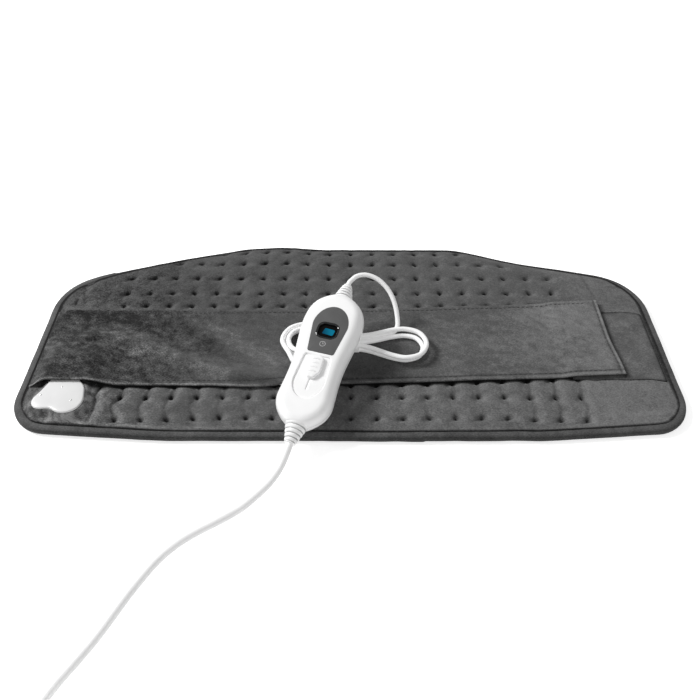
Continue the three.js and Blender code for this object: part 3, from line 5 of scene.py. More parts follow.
import logging
import math
from dataclasses import dataclass, field
from enum import Enum

import bmesh
import bpy
import numpy as np
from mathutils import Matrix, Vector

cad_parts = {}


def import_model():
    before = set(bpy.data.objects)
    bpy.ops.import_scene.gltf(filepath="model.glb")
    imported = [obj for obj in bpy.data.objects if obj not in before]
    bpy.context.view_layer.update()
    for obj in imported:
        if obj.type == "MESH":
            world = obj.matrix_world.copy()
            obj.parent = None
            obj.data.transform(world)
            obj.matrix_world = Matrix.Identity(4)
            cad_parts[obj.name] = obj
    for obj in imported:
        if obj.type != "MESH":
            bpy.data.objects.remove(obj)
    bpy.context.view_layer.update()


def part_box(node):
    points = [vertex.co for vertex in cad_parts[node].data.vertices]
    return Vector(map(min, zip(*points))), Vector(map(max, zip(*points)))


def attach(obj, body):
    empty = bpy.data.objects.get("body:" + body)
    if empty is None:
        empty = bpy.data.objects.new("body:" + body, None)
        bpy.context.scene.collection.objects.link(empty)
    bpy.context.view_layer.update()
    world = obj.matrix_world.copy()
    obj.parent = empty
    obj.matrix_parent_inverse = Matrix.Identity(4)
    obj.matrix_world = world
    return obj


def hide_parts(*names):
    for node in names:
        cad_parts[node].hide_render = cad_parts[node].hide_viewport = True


log = logging.getLogger("heating_pad")

Array = np.ndarray
Colour = tuple[float, float, float]
Pair = tuple[float, float]
Triple = tuple[float, float, float]
Socket = bpy.types.NodeSocket
Sockets = dict[str, Socket]
Material = bpy.types.Material
Piece = bpy.types.Object
MM = 0.001
ARC_POINTS = 12


class Body(Enum):
    """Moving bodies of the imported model."""

    PAD = "pad_and_controller"
    SLIDER = "slider"


class Slot(Enum):
    """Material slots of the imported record."""

    PLUSH = "plush"
    PLUSH_DARK = "plush_dark"
    WHITE_PLASTIC = "white_plastic"
    WHITE_CORD = "white_cord"
    GREY_PANEL = "grey_panel"
    BLACK_GLOSS = "black_gloss"
    BLUE_DISPLAY = "blue_display"
    STEEL = "steel"


class ShellHalf(Enum):
    """The two mouldings of the controller's case."""

    UPPER = 1
    LOWER = -1


class TieLay(Enum):
    """Ways in which a tie's bundle of cord lies."""

    ALONG_PAD = "along the pad"
    SLANTED = "slanted"


# Curves and soft shapes


def smoothstep(value: Array) -> Array:
    """Ease a value between 0 and 1 with level ends."""
    held = np.clip(value, 0.0, 1.0)
    return held * held * (3.0 - 2.0 * held)


def ease(value: Array, start: Array | float, end: Array | float) -> Array:
    """Ease from 0 to 1 while a value goes from a start up or down to an end."""
    return smoothstep((value - start) / (end - start))


def bump(distance: Array, width: float) -> Array:
    """Bell of height 1 that falls off over a width."""
    return np.exp(-((distance / width) ** 2))


def noise(x: Array, y: Array, scale: float, seed: int) -> Array:
    """Smooth seeded noise over the plane.

    Args:
        x: First coordinates in millimetres.
        y: Second coordinates in millimetres.
        scale: Size of one noise cell in millimetres.
        seed: Number that picks the pattern.

    Returns:
        Values from -1 to 1.
    """
    column, row = np.floor(x / scale), np.floor(y / scale)
    along, across = smoothstep(x / scale - column), smoothstep(y / scale - row)

    def corner(i: Array, j: Array) -> Array:
        """Fixed value of one lattice corner."""
        return 2.0 * np.mod(np.sin(i * 127.1 + j * 311.7 + seed * 74.7) * 43758.5453, 1.0) - 1.0

    near = corner(column, row) * (1 - along) + corner(column + 1, row) * along
    far = corner(column, row + 1) * (1 - along) + corner(column + 1, row + 1) * along
    return near * (1 - across) + far * across


def smooth_route(points: Array, steps: int) -> Array:
    """Run a centripetal spline through points.

    Args:
        points: Points to pass through, one row each.
        steps: Samples on each span.

    Returns:
        The sampled curve with the last point included.
    """
    ends = np.vstack([2 * points[0] - points[1], points, 2 * points[-1] - points[-2]])
    share = np.linspace(0.0, 1.0, steps, endpoint=False)[:, None]
    spans = []
    for before, start, end, after in zip(ends[:-3], ends[1:-2], ends[2:-1], ends[3:]):
        gap_in, gap, gap_out = (
            math.sqrt(max(np.linalg.norm(second - first), 1e-6))
            for first, second in ((before, start), (start, end), (end, after))
        )
        leave = (start - before) / gap_in - (end - before) / (gap_in + gap) + (end - start) / gap
        reach = (end - start) / gap - (after - start) / (gap + gap_out) + (after - end) / gap_out
        leave, reach = leave * gap, reach * gap
        square = -3 * start + 3 * end - 2 * leave - reach
        cube = 2 * start - 2 * end + leave + reach
        spans.append(start + leave * share + square * share**2 + cube * share**3)
    return np.vstack([*spans, points[-1:]])


def even_steps(path: Array, spacing: float, closed: bool = False) -> Array:
    """Resample a path to even spacing.

    Args:
        path: Points of the path, one row each.
        spacing: Distance wanted between samples.
        closed: Whether the path returns to its first point.

    Returns:
        Evenly spaced points; a closed path doesn't repeat its first one.
    """
    line = np.vstack([path, path[:1]]) if closed else path
    travel = np.concatenate([[0.0], np.cumsum(np.linalg.norm(np.diff(line, axis=0), axis=1))])
    count = max(int(round(travel[-1] / spacing)), 3)
    stops = np.linspace(0.0, travel[-1], count + 1)[: count if closed else count + 1]
    return np.stack([np.interp(stops, travel, line[:, axis]) for axis in range(line.shape[1])], axis=1)


def edged_axis(low: float, high: float, ends: tuple[float, ...], count: int) -> Array:
    """Stations from edge to edge of a cloth, even ones between the close ones at both ends."""
    close = np.array(ends)
    return np.concatenate([low + close, np.linspace(low + 2.4, high - 2.4, count), high - close[::-1]])


def inward_normals(loop: Array) -> Array:
    """Unit normals that point into a closed loop in the plane.

    Args:
        loop: Points counter-clockwise, one row each.

    Returns:
        One normal for each point.
    """
    tangent = np.roll(loop, -1, axis=0) - np.roll(loop, 1, axis=0)
    tangent /= np.linalg.norm(tangent, axis=1, keepdims=True)
    return np.stack([-tangent[:, 1], tangent[:, 0]], axis=1)


def distance_to_path(x: Array, y: Array, path: Array) -> Array:
    """Distance of points from a path in the plane.

    Args:
        x: First coordinates.
        y: Second coordinates.
        path: Corners of the path, one row each.

    Returns:
        Distances in the shape of x.
    """
    nearest = np.full(x.shape, np.inf)
    for start, end in zip(path[:-1], path[1:]):
        run = end - start
        share = ((x - start[0]) * run[0] + (y - start[1]) * run[1]) / max(float(run @ run), 1e-9)
        share = np.clip(share, 0.0, 1.0)
        gap = np.hypot(x - start[0] - share * run[0], y - start[1] - share * run[1])
        nearest = np.minimum(nearest, gap)
    return nearest


def depth_in_loop(x: Array, y: Array, loop: Array) -> Array:
    """Depth of points inside a convex loop.

    Args:
        x: First coordinates.
        y: Second coordinates.
        loop: Points of the loop, counter-clockwise.

    Returns:
        Depths in the shape of x, negative outside the loop.
    """
    normals = inward_normals(loop)
    depth = np.full(x.shape, np.inf)
    for point, normal in zip(loop, normals):
        depth = np.minimum(depth, (x - point[0]) * normal[0] + (y - point[1]) * normal[1])
    return depth


def rounded_loop(corners: list[Triple], inset: float = 0.0) -> Array:
    """Round the corners of a convex outline.

    Args:
        corners: Corner positions and radii, counter-clockwise.
        inset: How far the outline moves inwards.

    Returns:
        Points of the closed loop, one row each.
    """
    places = np.array([corner[:2] for corner in corners])
    loop = []
    for index, (_, _, radius) in enumerate(corners):
        place = places[index]
        arriving = place - places[index - 1]
        leaving = places[(index + 1) % len(corners)] - place
        arriving, leaving = arriving / np.linalg.norm(arriving), leaving / np.linalg.norm(leaving)
        turn = math.acos(float(np.clip(arriving @ leaving, -1.0, 1.0)))
        inner = leaving - arriving
        inner = inner / np.linalg.norm(inner)
        centre = place + inner * (radius / math.cos(turn / 2))
        bend = max(radius - inset, 0.2)
        start = math.atan2(-arriving[0], arriving[1])
        angles = start + np.linspace(0.0, turn, ARC_POINTS)
        loop.append(centre + bend * np.stack([np.cos(angles), np.sin(angles)], axis=1))
    return np.vstack(loop)


# Forms and pieces


@dataclass
class Form:
    """Points in millimetres and faces of a piece before it becomes a mesh."""

    points: Array
    faces: list[list[int]]

    def joined(self, other: Form) -> Form:
        """Put another form beside this one in a new form."""
        moved = [[index + len(self.points) for index in face] for face in other.faces]
        return Form(np.vstack([self.points, other.points]), self.faces + moved)

    def placed(self, matrix: Array) -> Form:
        """Move the form by a 4 by 4 matrix."""
        return Form(self.points @ matrix[:3, :3].T + matrix[:3, 3], self.faces)


def grid_faces(rows: int, columns: int, wrap: bool = False, loop: bool = False) -> list[list[int]]:
    """Quads of a grid of points.

    Args:
        rows: Points in the first direction.
        columns: Points in the second direction.
        wrap: Whether the last column joins the first.
        loop: Whether the last row joins the first.

    Returns:
        Corner indices of each quad.
    """
    row = np.arange(rows if loop else rows - 1)[:, None]
    column = np.arange(columns if wrap else columns - 1)[None, :]
    below, beside = (row + 1) % rows, (column + 1) % columns
    corners = (row * columns + column, row * columns + beside,
               below * columns + beside, below * columns + column)
    return np.stack(corners, axis=-1).reshape(-1, 4).tolist()


def loft(rings: Array, capped: bool = True, loop: bool = False) -> Form:
    """Skin a row of closed rings.

    Args:
        rings: Ring points in an array of rings, points and coordinates.
        capped: Whether the first and last ring are closed by a face.
        loop: Whether the last ring joins the first.

    Returns:
        The skinned form.
    """
    count, around = rings.shape[:2]
    faces = grid_faces(count, around, wrap=True, loop=loop)
    if capped and not loop:
        faces.append(list(range(around))[::-1])
        faces.append(list(range((count - 1) * around, count * around)))
    return Form(rings.reshape(-1, 3), faces)


def plate(
    loop: Array, bottom: float, top: float, edge: float, dome: float = 0.0, both: bool = False
) -> Form:
    """Make a plate with a rounded rim.

    Args:
        loop: Outline of the plate, counter-clockwise.
        bottom: Height of the underside.
        top: Height of the rim's upper side.
        edge: Radius of the rounded rim.
        dome: How far the middle stands above the rim.
        both: Whether the lower rim is rounded too.

    Returns:
        A closed form.
    """
    normals = inward_normals(loop)
    bend = np.linspace(0.0, math.pi / 2, 6)
    insets = [edge * (1 - math.cos(angle)) for angle in bend]
    heights = [top - edge + edge * math.sin(angle) for angle in bend]
    if both:
        insets = insets[::-1] + insets
        heights = [bottom + top - height for height in heights[::-1]] + heights
    else:
        insets, heights = [0.0, *insets], [bottom, *heights]
    rings = [np.column_stack([loop + normals * inset, np.full(len(loop), height)])
             for inset, height in zip(insets, heights)]
    middle = rings[-1].mean(axis=0)
    for share in (0.2, 0.4, 0.6, 0.8, 0.94):
        ring = rings[len(insets) - 1] * (1 - share) + middle * share
        ring[:, 2] = top + dome * (1 - (1 - share) ** 2)
        rings.append(ring)
    return loft(np.array(rings))


def cloth_slab(top: Array, bottom: Array) -> Form:
    """Close a layer of cloth from the grids of its two sides.

    Args:
        top: Upper points in an array of rows, columns and coordinates.
        bottom: Lower points on the same grid.

    Returns:
        A closed form.
    """
    return loft(np.concatenate([top, bottom[:, ::-1]], axis=1))


def swept_ring(loop: Array, section: Array, lift: float = 0.0) -> Form:
    """Sweep a closed section round a closed loop in the plane.

    Args:
        loop: Outline followed, counter-clockwise.
        section: Distances inwards and heights of the section's corners.
        lift: Height added to the section.

    Returns:
        A closed form.
    """
    normals = inward_normals(loop)
    rings = np.empty((len(loop), len(section), 3))
    rings[:, :, :2] = loop[:, None, :] + normals[:, None, :] * section[None, :, :1]
    rings[:, :, 2] = section[None, :, 1] + lift
    return loft(rings, capped=False, loop=True)


def tube(path: Array, radii: Array, sides: int = 12, flatten: float = 1.0) -> Form:
    """Skin a round or flattened tube along an open path.

    Args:
        path: Points of the path, one row each.
        radii: Radius at each point.
        sides: Points on each ring.
        flatten: Height of the section as a share of its width.

    Returns:
        A closed form.
    """
    tangents = np.gradient(path, axis=0)
    tangents /= np.linalg.norm(tangents, axis=1, keepdims=True)
    upright = np.tile([0.0, 0.0, 1.0], (len(path), 1))
    upright[np.abs(tangents[:, 2]) > 0.95] = [0.0, 1.0, 0.0]
    side = np.cross(tangents, upright)
    side /= np.linalg.norm(side, axis=1, keepdims=True)
    over = np.cross(side, tangents)
    turn = np.linspace(0.0, 2 * math.pi, sides, endpoint=False)
    rings = (path[:, None] + radii[:, None, None] * (side[:, None] * np.cos(turn)[None, :, None]
             + flatten * over[:, None] * np.sin(turn)[None, :, None]))
    return loft(rings)


def turned(profile: Array, sides: int = 48) -> Form:
    """Turn a profile about the local Y axis.

    Args:
        profile: Distances along the axis and radii, from end to end.
        sides: Points on each ring.

    Returns:
        A closed form.
    """
    angle = np.linspace(0.0, 2 * math.pi, sides, endpoint=False)
    rings = np.empty((len(profile), sides, 3))
    rings[:, :, 0] = profile[:, 1:] * np.cos(angle)
    rings[:, :, 1] = profile[:, :1]
    rings[:, :, 2] = profile[:, 1:] * np.sin(angle)
    return loft(rings)


def stitches(path: Array, length: float, gap: float, radius: float) -> Form:
    """Lay a row of thread stitches along a path.

    Args:
        path: Seam line in millimetres, one row each.
        length: Length of one stitch.
        gap: Distance from one stitch to the next.
        radius: Half thickness of the thread.

    Returns:
        One form that holds every stitch.
    """
    travel = np.concatenate([[0.0], np.cumsum(np.linalg.norm(np.diff(path, axis=0), axis=1))])
    swell = np.array([0.35, 0.85, 1.0, 0.85, 0.35])
    parts, faces = [], []
    for start in np.arange(gap, travel[-1] - length - gap, length + gap):
        stops = start + np.linspace(0.0, length, len(swell))
        line = np.stack([np.interp(stops, travel, path[:, axis]) for axis in range(3)], axis=1)
        line[:, 2] += radius * (swell - 0.6)
        stitch = tube(line, radius * swell, sides=6)
        shift = len(parts) * len(stitch.points)
        faces.extend([[index + shift for index in face] for face in stitch.faces])
        parts.append(stitch.points)
    return Form(np.vstack(parts), faces)


def solid_box(node: str) -> tuple[Array, Array]:
    """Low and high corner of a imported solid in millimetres."""
    low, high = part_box(node)
    return np.array(low) / MM, np.array(high) / MM


@dataclass
class Maker:
    """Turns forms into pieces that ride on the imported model."""

    made: int = 0

    def piece(
        self, name: str, form: Form, finish: Material, slot: Slot, body: Body = Body.PAD,
        replaces: tuple[str, ...] = (), sharp: float = 40.0, closed: bool = True,
        shade: Array | None = None, rough: Array | None = None,
    ) -> Piece:
        """Make one piece from a form.

        Args:
            name: Name of the piece.
            form: Its points and faces.
            finish: Material that it wears.
            slot: Record slot of that material.
            body: Body that it moves with.
            replaces: Solids of the frame that it stands for.
            sharp: Angle in degrees above which an edge stays crisp.
            closed: Whether the faces may be turned outwards together.
            shade: Painted light and shade of each point, with the surface's own tone, where it has any.
            rough: How ruffled each point's pile is, where it is.

        Returns:
            The new object.
        """
        mesh = bpy.data.meshes.new(name)
        mesh.from_pydata((form.points * MM).tolist(), [], form.faces)
        if closed:
            work = bmesh.new()
            work.from_mesh(mesh)
            bmesh.ops.recalc_face_normals(work, faces=work.faces)
            work.to_mesh(mesh)
            work.free()
        mesh.shade_smooth()
        mesh.set_sharp_from_angle(angle=math.radians(sharp))
        # The shade array, painted light and shade, is stored as a point attribute that the finishes read.
        for key, values in (("tone_and_painted_light", shade), ("nap_rough", rough)):
            if values is not None:
                mesh.attributes.new(key, "FLOAT", "POINT").data.foreach_set("value", values.ravel())
        mesh.materials.append(finish)
        piece = bpy.data.objects.new(name, mesh)
        bpy.context.scene.collection.objects.link(piece)
        self.settle(piece, slot, body, replaces)
        return piece

    def settle(
        self, piece: Piece, slot: Slot, body: Body = Body.PAD, replaces: tuple[str, ...] = ()
    ) -> None:
        """Tie a piece to its body and hide the solids that it stands for.

        Args:
            piece: Object to tie.
            slot: Record slot of its material; not used.
            body: Body that it moves with.
            replaces: Solids of the frame that it stands for.
        """
        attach(piece, body.value)
        if replaces:
            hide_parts(*replaces)
        self.made += 1
        log.info("%s made", piece.name)


# Finishes


def fill(node: bpy.types.Node, inputs: dict[str, object]) -> None:
    """Set the values of a node's input sockets by name."""
    for key, value in inputs.items():
        node.inputs[key].default_value = value


class Graph:
    """A node tree while it is being wired."""

    def __init__(self, tree: bpy.types.NodeTree) -> None:
        """Keep the tree."""
        self.tree = tree

    def add(self, kind: str, inputs: dict[str, object] | None = None, **settings: object) -> bpy.types.Node:
        """Add a node.

        Args:
            kind: Type name of the node.
            inputs: Values for its input sockets by name.
            settings: Values for its own properties.

        Returns:
            The new node.
        """
        node = self.tree.nodes.new(kind)
        for key, value in settings.items():
            setattr(node, key, value)
        fill(node, inputs or {})
        return node

    def link(self, source: Socket, target: Socket) -> None:
        """Join two sockets."""
        self.tree.links.new(source, target)

    def maths(
        self, operation: str, first: object, second: object, clamp: bool = False
    ) -> Socket:
        """Combine two values.

        Args:
            operation: Name of the operation.
            first: Socket or number on the left.
            second: Socket or number on the right.
            clamp: Whether the result is held between 0 and 1.

        Returns:
            The result's socket.
        """
        node = self.add("ShaderNodeMath", operation=operation, use_clamp=clamp)
        for socket, value in zip(node.inputs, (first, second)):
            if isinstance(value, Socket):
                self.link(value, socket)
            else:
                socket.default_value = value
        return node.outputs[0]

    def ramp(self, source: Socket, stops: list[tuple[float, Colour]]) -> Socket:
        """Turn a value into a colour.

        Args:
            source: Socket of the value.
            stops: Positions and colours along the ramp.

        Returns:
            The colour's socket.
        """
        node = self.add("ShaderNodeValToRGB")
        while len(node.color_ramp.elements) < len(stops):
            node.color_ramp.elements.new(0.5)
        for element, (position, colour) in zip(node.color_ramp.elements, stops):
            element.position = position
            element.color = (*colour, 1.0)
        self.link(source, node.inputs["Fac"])
        return node.outputs["Color"]

    def spread(self, source: Socket, low: float, high: float) -> Socket:
        """Map a value from 0..1 onto a range.

        Args:
            source: Socket of the value.
            low: Result for 0.
            high: Result for 1.

        Returns:
            The result's socket.
        """
        node = self.add("ShaderNodeMapRange", inputs={"To Min": low, "To Max": high})
        self.link(source, node.inputs["Value"])
        return node.outputs["Result"]


class Effects:
    """Surface effects that several finishes share, each one node group."""

    def __init__(self) -> None:
        """Build the groups once."""
        self.nap_and_painted_light = self._nap()
        self.grain = self._grain()

    @staticmethod
    def _group(name: str, inlets: dict[str, float], outlets: list[str]) -> tuple[Graph, Sockets, Sockets]:
        """Start a node group.

        Args:
            name: Name of the group.
            inlets: Input names and their usual values.
            outlets: Output names.

        Returns:
            The graph, its input sockets and its output sockets by name.
        """
        tree = bpy.data.node_groups.new(name, "ShaderNodeTree")
        for key, value in inlets.items():
            inlet = tree.interface.new_socket(name=key, in_out="INPUT", socket_type="NodeSocketFloat")
            inlet.default_value = value
        for key in outlets:
            tree.interface.new_socket(name=key, in_out="OUTPUT", socket_type="NodeSocketFloat")
        graph = Graph(tree)
        source, target = graph.add("NodeGroupInput"), graph.add("NodeGroupOutput")
        return graph, dict(source.outputs.items()), dict(target.inputs.items())

    def _nap(self) -> bpy.types.NodeTree:
        """Combed pile: wide combed patches, tufts of fibre and single fibres.

        Returns:
            The node group.
        """
        amounts = {"Patch": 0.3, "Clump": 0.3, "Fibre": 0.3, "Clump Scale": 240.0}
        graph, inlet, outlet = self._group("brushed_nap", amounts, ["Shade", "Height"])
        place = graph.add("ShaderNodeTexCoord").outputs["Object"]
        nap_and_light_streaks = graph.add("ShaderNodeMapping",
                            inputs={"Rotation": (0.0, 0.0, 0.5), "Scale": (0.45, 1.0, 1.0)})
        graph.link(place, nap_and_light_streaks.inputs["Vector"])
        patch = graph.add("ShaderNodeTexNoise", inputs={"Scale": 42.0, "Detail": 4.0, "Distortion": 1.4})
        clump = graph.add("ShaderNodeTexNoise", inputs={"Detail": 3.0, "Distortion": 0.8})
        fibre = graph.add("ShaderNodeTexNoise", inputs={"Scale": 1500.0, "Detail": 1.0})
        graph.link(nap_and_light_streaks.outputs["Vector"], patch.inputs["Vector"])
        graph.link(place, clump.inputs["Vector"])
        graph.link(nap_and_light_streaks.outputs["Vector"], fibre.inputs["Vector"])
        graph.link(inlet["Clump Scale"], clump.inputs["Scale"])
        shade: object = 0.5
        for texture, key in ((patch, "Patch"), (clump, "Clump"), (fibre, "Fibre")):
            offset = graph.maths("SUBTRACT", texture.outputs["Fac"], 0.5)
            part = graph.maths("MULTIPLY", offset, inlet[key])
            shade = graph.maths("ADD", shade, graph.maths("MULTIPLY", part, 2.4))
        graph.link(graph.maths("ADD", shade, 0.0, clamp=True), outlet["Shade"])
        height = graph.maths("ADD", clump.outputs["Fac"], graph.maths("MULTIPLY", fibre.outputs["Fac"], 0.6))
        graph.link(height, outlet["Height"])
        return graph.tree

    def _grain(self) -> bpy.types.NodeTree:
        """Fine moulding grain with faint traces of handling.

        Returns:
            The node group.
        """
        graph, inlet, outlet = self._group("moulding_grain", {"Scale": 900.0}, ["Grain", "Handling"])
        place = graph.add("ShaderNodeTexCoord").outputs["Object"]
        grain = graph.add("ShaderNodeTexNoise", inputs={"Detail": 2.0})
        handled = graph.add("ShaderNodeTexNoise", inputs={"Scale": 55.0, "Detail": 3.0, "Distortion": 0.6})
        graph.link(place, grain.inputs["Vector"])
        graph.link(place, handled.inputs["Vector"])
        graph.link(inlet["Scale"], grain.inputs["Scale"])
        graph.link(grain.outputs["Fac"], outlet["Grain"])
        graph.link(handled.outputs["Fac"], outlet["Handling"])
        return graph.tree


def start_material(name: str) -> tuple[Material, Graph, bpy.types.Node]:
    """Start a material.

    Args:
        name: Name of the material.

    Returns:
        The material, its graph and its surface shader.
    """
    material = bpy.data.materials.new(name)
    material.use_nodes = True
    graph = Graph(material.node_tree)
    shader = next(node for node in material.node_tree.nodes if node.type == "BSDF_PRINCIPLED")
    return material, graph, shader


@dataclass(frozen=True)
class NapFinish:
    """Plush or felt with a combed pile."""

    name: str
    shaded: Colour
    plain: Colour
    lit: Colour
    patch: float
    clump: float
    fibre: float
    sheen: float = 0.12
    depth: float = 0.0006

    def make(self, effects: Effects) -> Material:
        """Wire the finish.

        Args:
            effects: Shared effects.

        Returns:
            The material.
        """
        material, graph, shader = start_material(self.name)
        nap_and_painted_light = graph.add("ShaderNodeGroup", node_tree=effects.nap_and_painted_light)
        fill(nap_and_painted_light, {"Patch": self.patch, "Clump": self.clump, "Fibre": self.fibre})
        # The point attribute holds painted light and shade, such as pits, folds, gaps under the belt and lit
        # edges, with the pile's own tone; the ramp turns it into greys from shaded to lit.
        tone_and_light_marks = graph.add("ShaderNodeAttribute", attribute_name="tone_and_painted_light").outputs["Fac"]
        ruffled = graph.add("ShaderNodeAttribute", attribute_name="nap_rough").outputs["Fac"]
        offset = graph.maths("SUBTRACT", nap_and_painted_light.outputs["Shade"], 0.5)
        lively = graph.maths("MULTIPLY", offset, graph.maths("ADD", ruffled, 1.0))
        shade = graph.maths("ADD", graph.maths("ADD", lively, 0.5), tone_and_light_marks, clamp=True)
        colour = graph.ramp(shade, [(0.0, self.shaded), (0.5, self.plain), (1.0, self.lit)])
        graph.link(colour, shader.inputs["Base Color"])
        graph.link(graph.spread(shade, 1.0, 0.82), shader.inputs["Roughness"])
        relief = graph.add("ShaderNodeBump", inputs={"Strength": 0.55, "Distance": self.depth})
        graph.link(nap_and_painted_light.outputs["Height"], relief.inputs["Height"])
        graph.link(relief.outputs["Normal"], shader.inputs["Normal"])
        fill(shader, {"Sheen Weight": self.sheen, "Sheen Roughness": 0.55, "Specular IOR Level": 0.15})
        return material


@dataclass(frozen=True)
class MouldedFinish:
    """Moulded plastic, cord sheath or metal with a fine grain."""

    name: str
    low: Colour
    high: Colour
    smooth: float
    dull: float
    coat: float = 0.0
    grain_scale: float = 900.0
    depth: float = 0.00002
    metallic: float = 0.0
    specular: float = 0.5
    # Glow on the white case and sheath is painted light that brightens them; on the floor it keeps the floor
    # evenly bright.
    glow: float = 0.0
    seen_glow: float = 0.0

    def make(self, effects: Effects) -> Material:
        """Wire the finish.

        Args:
            effects: Shared effects.

        Returns:
            The material.
        """
        material, graph, shader = start_material(self.name)
        grain = graph.add("ShaderNodeGroup", node_tree=effects.grain)
        grain.inputs["Scale"].default_value = self.grain_scale
        # The point attribute holds painted shade that darkens the ring grooves of the sleeves, down to a quarter
        # of the low grey.
        painted_light_and_shade = graph.add("ShaderNodeAttribute", attribute_name="tone_and_painted_light").outputs["Fac"]
        tone_and_light_marks = graph.maths("MULTIPLY", painted_light_and_shade, 0.5)
        painted_shade = tuple(0.25 * value for value in self.low)
        tint = graph.maths("ADD", grain.outputs["Handling"], tone_and_light_marks, clamp=True)
        colour = graph.ramp(tint, [(0.0, painted_shade), (0.25, self.low), (0.7, self.high)])
        graph.link(colour, shader.inputs["Base Color"])
        rough = graph.spread(grain.outputs["Handling"], self.smooth, self.dull)
        graph.link(rough, shader.inputs["Roughness"])
        relief = graph.add("ShaderNodeBump", inputs={"Strength": 0.3, "Distance": self.depth})
        graph.link(grain.outputs["Grain"], relief.inputs["Height"])
        graph.link(relief.outputs["Normal"], shader.inputs["Normal"])
        fill(shader, {"Metallic": self.metallic, "Coat Weight": self.coat, "Coat Roughness": 0.12,
                      "Specular IOR Level": self.specular, "Emission Strength": 1.0,
                      "Emission Color": (self.glow, self.glow, self.glow, 1.0)})
        if self.seen_glow:
            seen = graph.add("ShaderNodeLightPath").outputs["Is Camera Ray"]
            shine = graph.ramp(seen, [(0.0, (self.glow,) * 3), (1.0, (self.seen_glow,) * 3)])
            graph.link(shine, shader.inputs["Emission Color"])
        return material


@dataclass(frozen=True)
class DisplayFinish:
    """Backlit liquid crystal that is brighter towards one side."""

    name: str
    dim: Colour
    bright: Colour
    glow: float

    def make(self, effects: Effects) -> Material:
        """Wire the finish.

        Args:
            effects: Shared effects.

        Returns:
            The material.
        """
        material, graph, shader = start_material(self.name)
        across = graph.add("ShaderNodeSeparateXYZ")
        graph.link(graph.add("ShaderNodeTexCoord").outputs["Generated"], across.inputs["Vector"])
        grain = graph.add("ShaderNodeGroup", node_tree=effects.grain)
        grain.inputs["Scale"].default_value = 2400.0
        uneven = graph.maths("MULTIPLY", graph.maths("SUBTRACT", grain.outputs["Handling"], 0.5), 0.5)
        tint = graph.maths("ADD", across.outputs["X"], uneven)
        colour = graph.ramp(tint, [(0.0, self.dim), (0.65, self.bright)])
        graph.link(colour, shader.inputs["Emission Color"])
        fill(shader, {"Base Color": (0.0, 0.01, 0.02, 1.0), "Emission Strength": self.glow, "Roughness": 0.3,
                      "Specular IOR Level": 0.1})
        return material


@dataclass(frozen=True)
class BoardFinish:
    """Green circuit board with copper runs under its lacquer."""

    name: str

    def make(self, effects: Effects) -> Material:
        """Wire the finish.

        Args:
            effects: Shared effects.

        Returns:
            The material.
        """
        material, graph, shader = start_material(self.name)
        runs = graph.add("ShaderNodeTexBrick", inputs={"Scale": 260.0, "Mortar Size": 0.03})
        graph.link(graph.add("ShaderNodeTexCoord").outputs["Object"], runs.inputs["Vector"])
        colour = graph.ramp(runs.outputs["Fac"], [(0.2, (0.01, 0.09, 0.04)), (0.8, (0.05, 0.22, 0.09))])
        graph.link(colour, shader.inputs["Base Color"])
        grain = graph.add("ShaderNodeGroup", node_tree=effects.grain)
        graph.link(graph.spread(grain.outputs["Handling"], 0.25, 0.45), shader.inputs["Roughness"])
        return material


class Finishes:
    """Every material of the object."""

    def __init__(self) -> None:
        """Make each material once from the shared effects."""
        effects = Effects()

        def nap_and_painted_light(
            name: str, shaded: float, plain: float, lit: float, *amounts: float, **more: float
        ) -> Material:
            """Cloth or thread in three greys."""
            return NapFinish(name, (shaded,) * 3, (plain,) * 3, (lit,) * 3, *amounts, **more).make(effects)

        def moulded(name: str, low: float, high: float, *shine: float, **more: float) -> Material:
            """Moulded piece between two greys."""
            return MouldedFinish(name, (low,) * 3, (high,) * 3, *shine, **more).make(effects)

        self.quilt = nap_and_painted_light("quilt_plush", 0.004, 0.094, 0.3, 0.07, 0.12, 0.2)
        self.belt = nap_and_painted_light("belt_plush", 0.004, 0.083, 0.3, 0.035, 0.09, 0.2)
        self.tape = nap_and_painted_light("tape_plush", 0.004, 0.061, 0.16, 0.05, 0.1, 0.24, depth=0.0003)
        self.thread = nap_and_painted_light("dark_thread", 0.02, 0.06, 0.12, 0.05, 0.1, 0.3, depth=0.0001)
        self.hooks = nap_and_painted_light("hook_pile", 0.01, 0.03, 0.07, 0.05, 0.3, 0.5, depth=0.0005)
        self.felt = NapFinish("heater_felt", (0.4,) * 3, (0.54,) * 3, (0.66, 0.65, 0.62),
                              0.2, 0.3, 0.4).make(effects)
        # The case and sheath get a little glow: painted light on the white plastic.
        self.case = moulded("white_case", 0.82, 0.85, 0.22, 0.3, coat=0.25, glow=0.09)
        self.sheath = moulded("white_sheath", 0.82, 0.86, 0.34, 0.44, coat=0.1, glow=0.12, grain_scale=1400.0)
        self.cover = moulded("terminal_white", 0.66, 0.7, 0.2, 0.28, coat=0.3)
        self.panel = moulded("grey_panel", 0.085, 0.105, 0.28, 0.38, coat=0.15, grain_scale=1800.0)
        self.glass = moulded("black_glass", 0.004, 0.007, 0.05, 0.1, coat=0.5)
        self.pane = moulded("display_black", 0.002, 0.004, 0.12, 0.2, specular=0.1)
        self.print = moulded("pale_print", 0.42, 0.5, 0.4, 0.5)
        self.steel = moulded("screw_steel", 0.5, 0.62, 0.25, 0.4, metallic=1.0, grain_scale=2600.0)
        self.red = MouldedFinish("red_insulation", (0.42, 0.03, 0.02), (0.5, 0.05, 0.03),
                                 0.4, 0.5).make(effects)
        self.black = moulded("black_moulding", 0.012, 0.02, 0.35, 0.5)
        self.display = DisplayFinish("blue_display", (0.0, 0.03, 0.07), (0.002, 0.16, 0.26), 1.0).make(effects)
        self.board = BoardFinish("circuit_board").make(effects)
        self.floor = moulded("studio_floor", 0.86, 0.88, 0.7, 0.8, glow=0.22, seen_glow=0.6)


@dataclass
class Assembly:
    """Group of pieces that one maker builds in the scene's finishes."""

    maker: Maker
    finishes: Finishes


# Studio


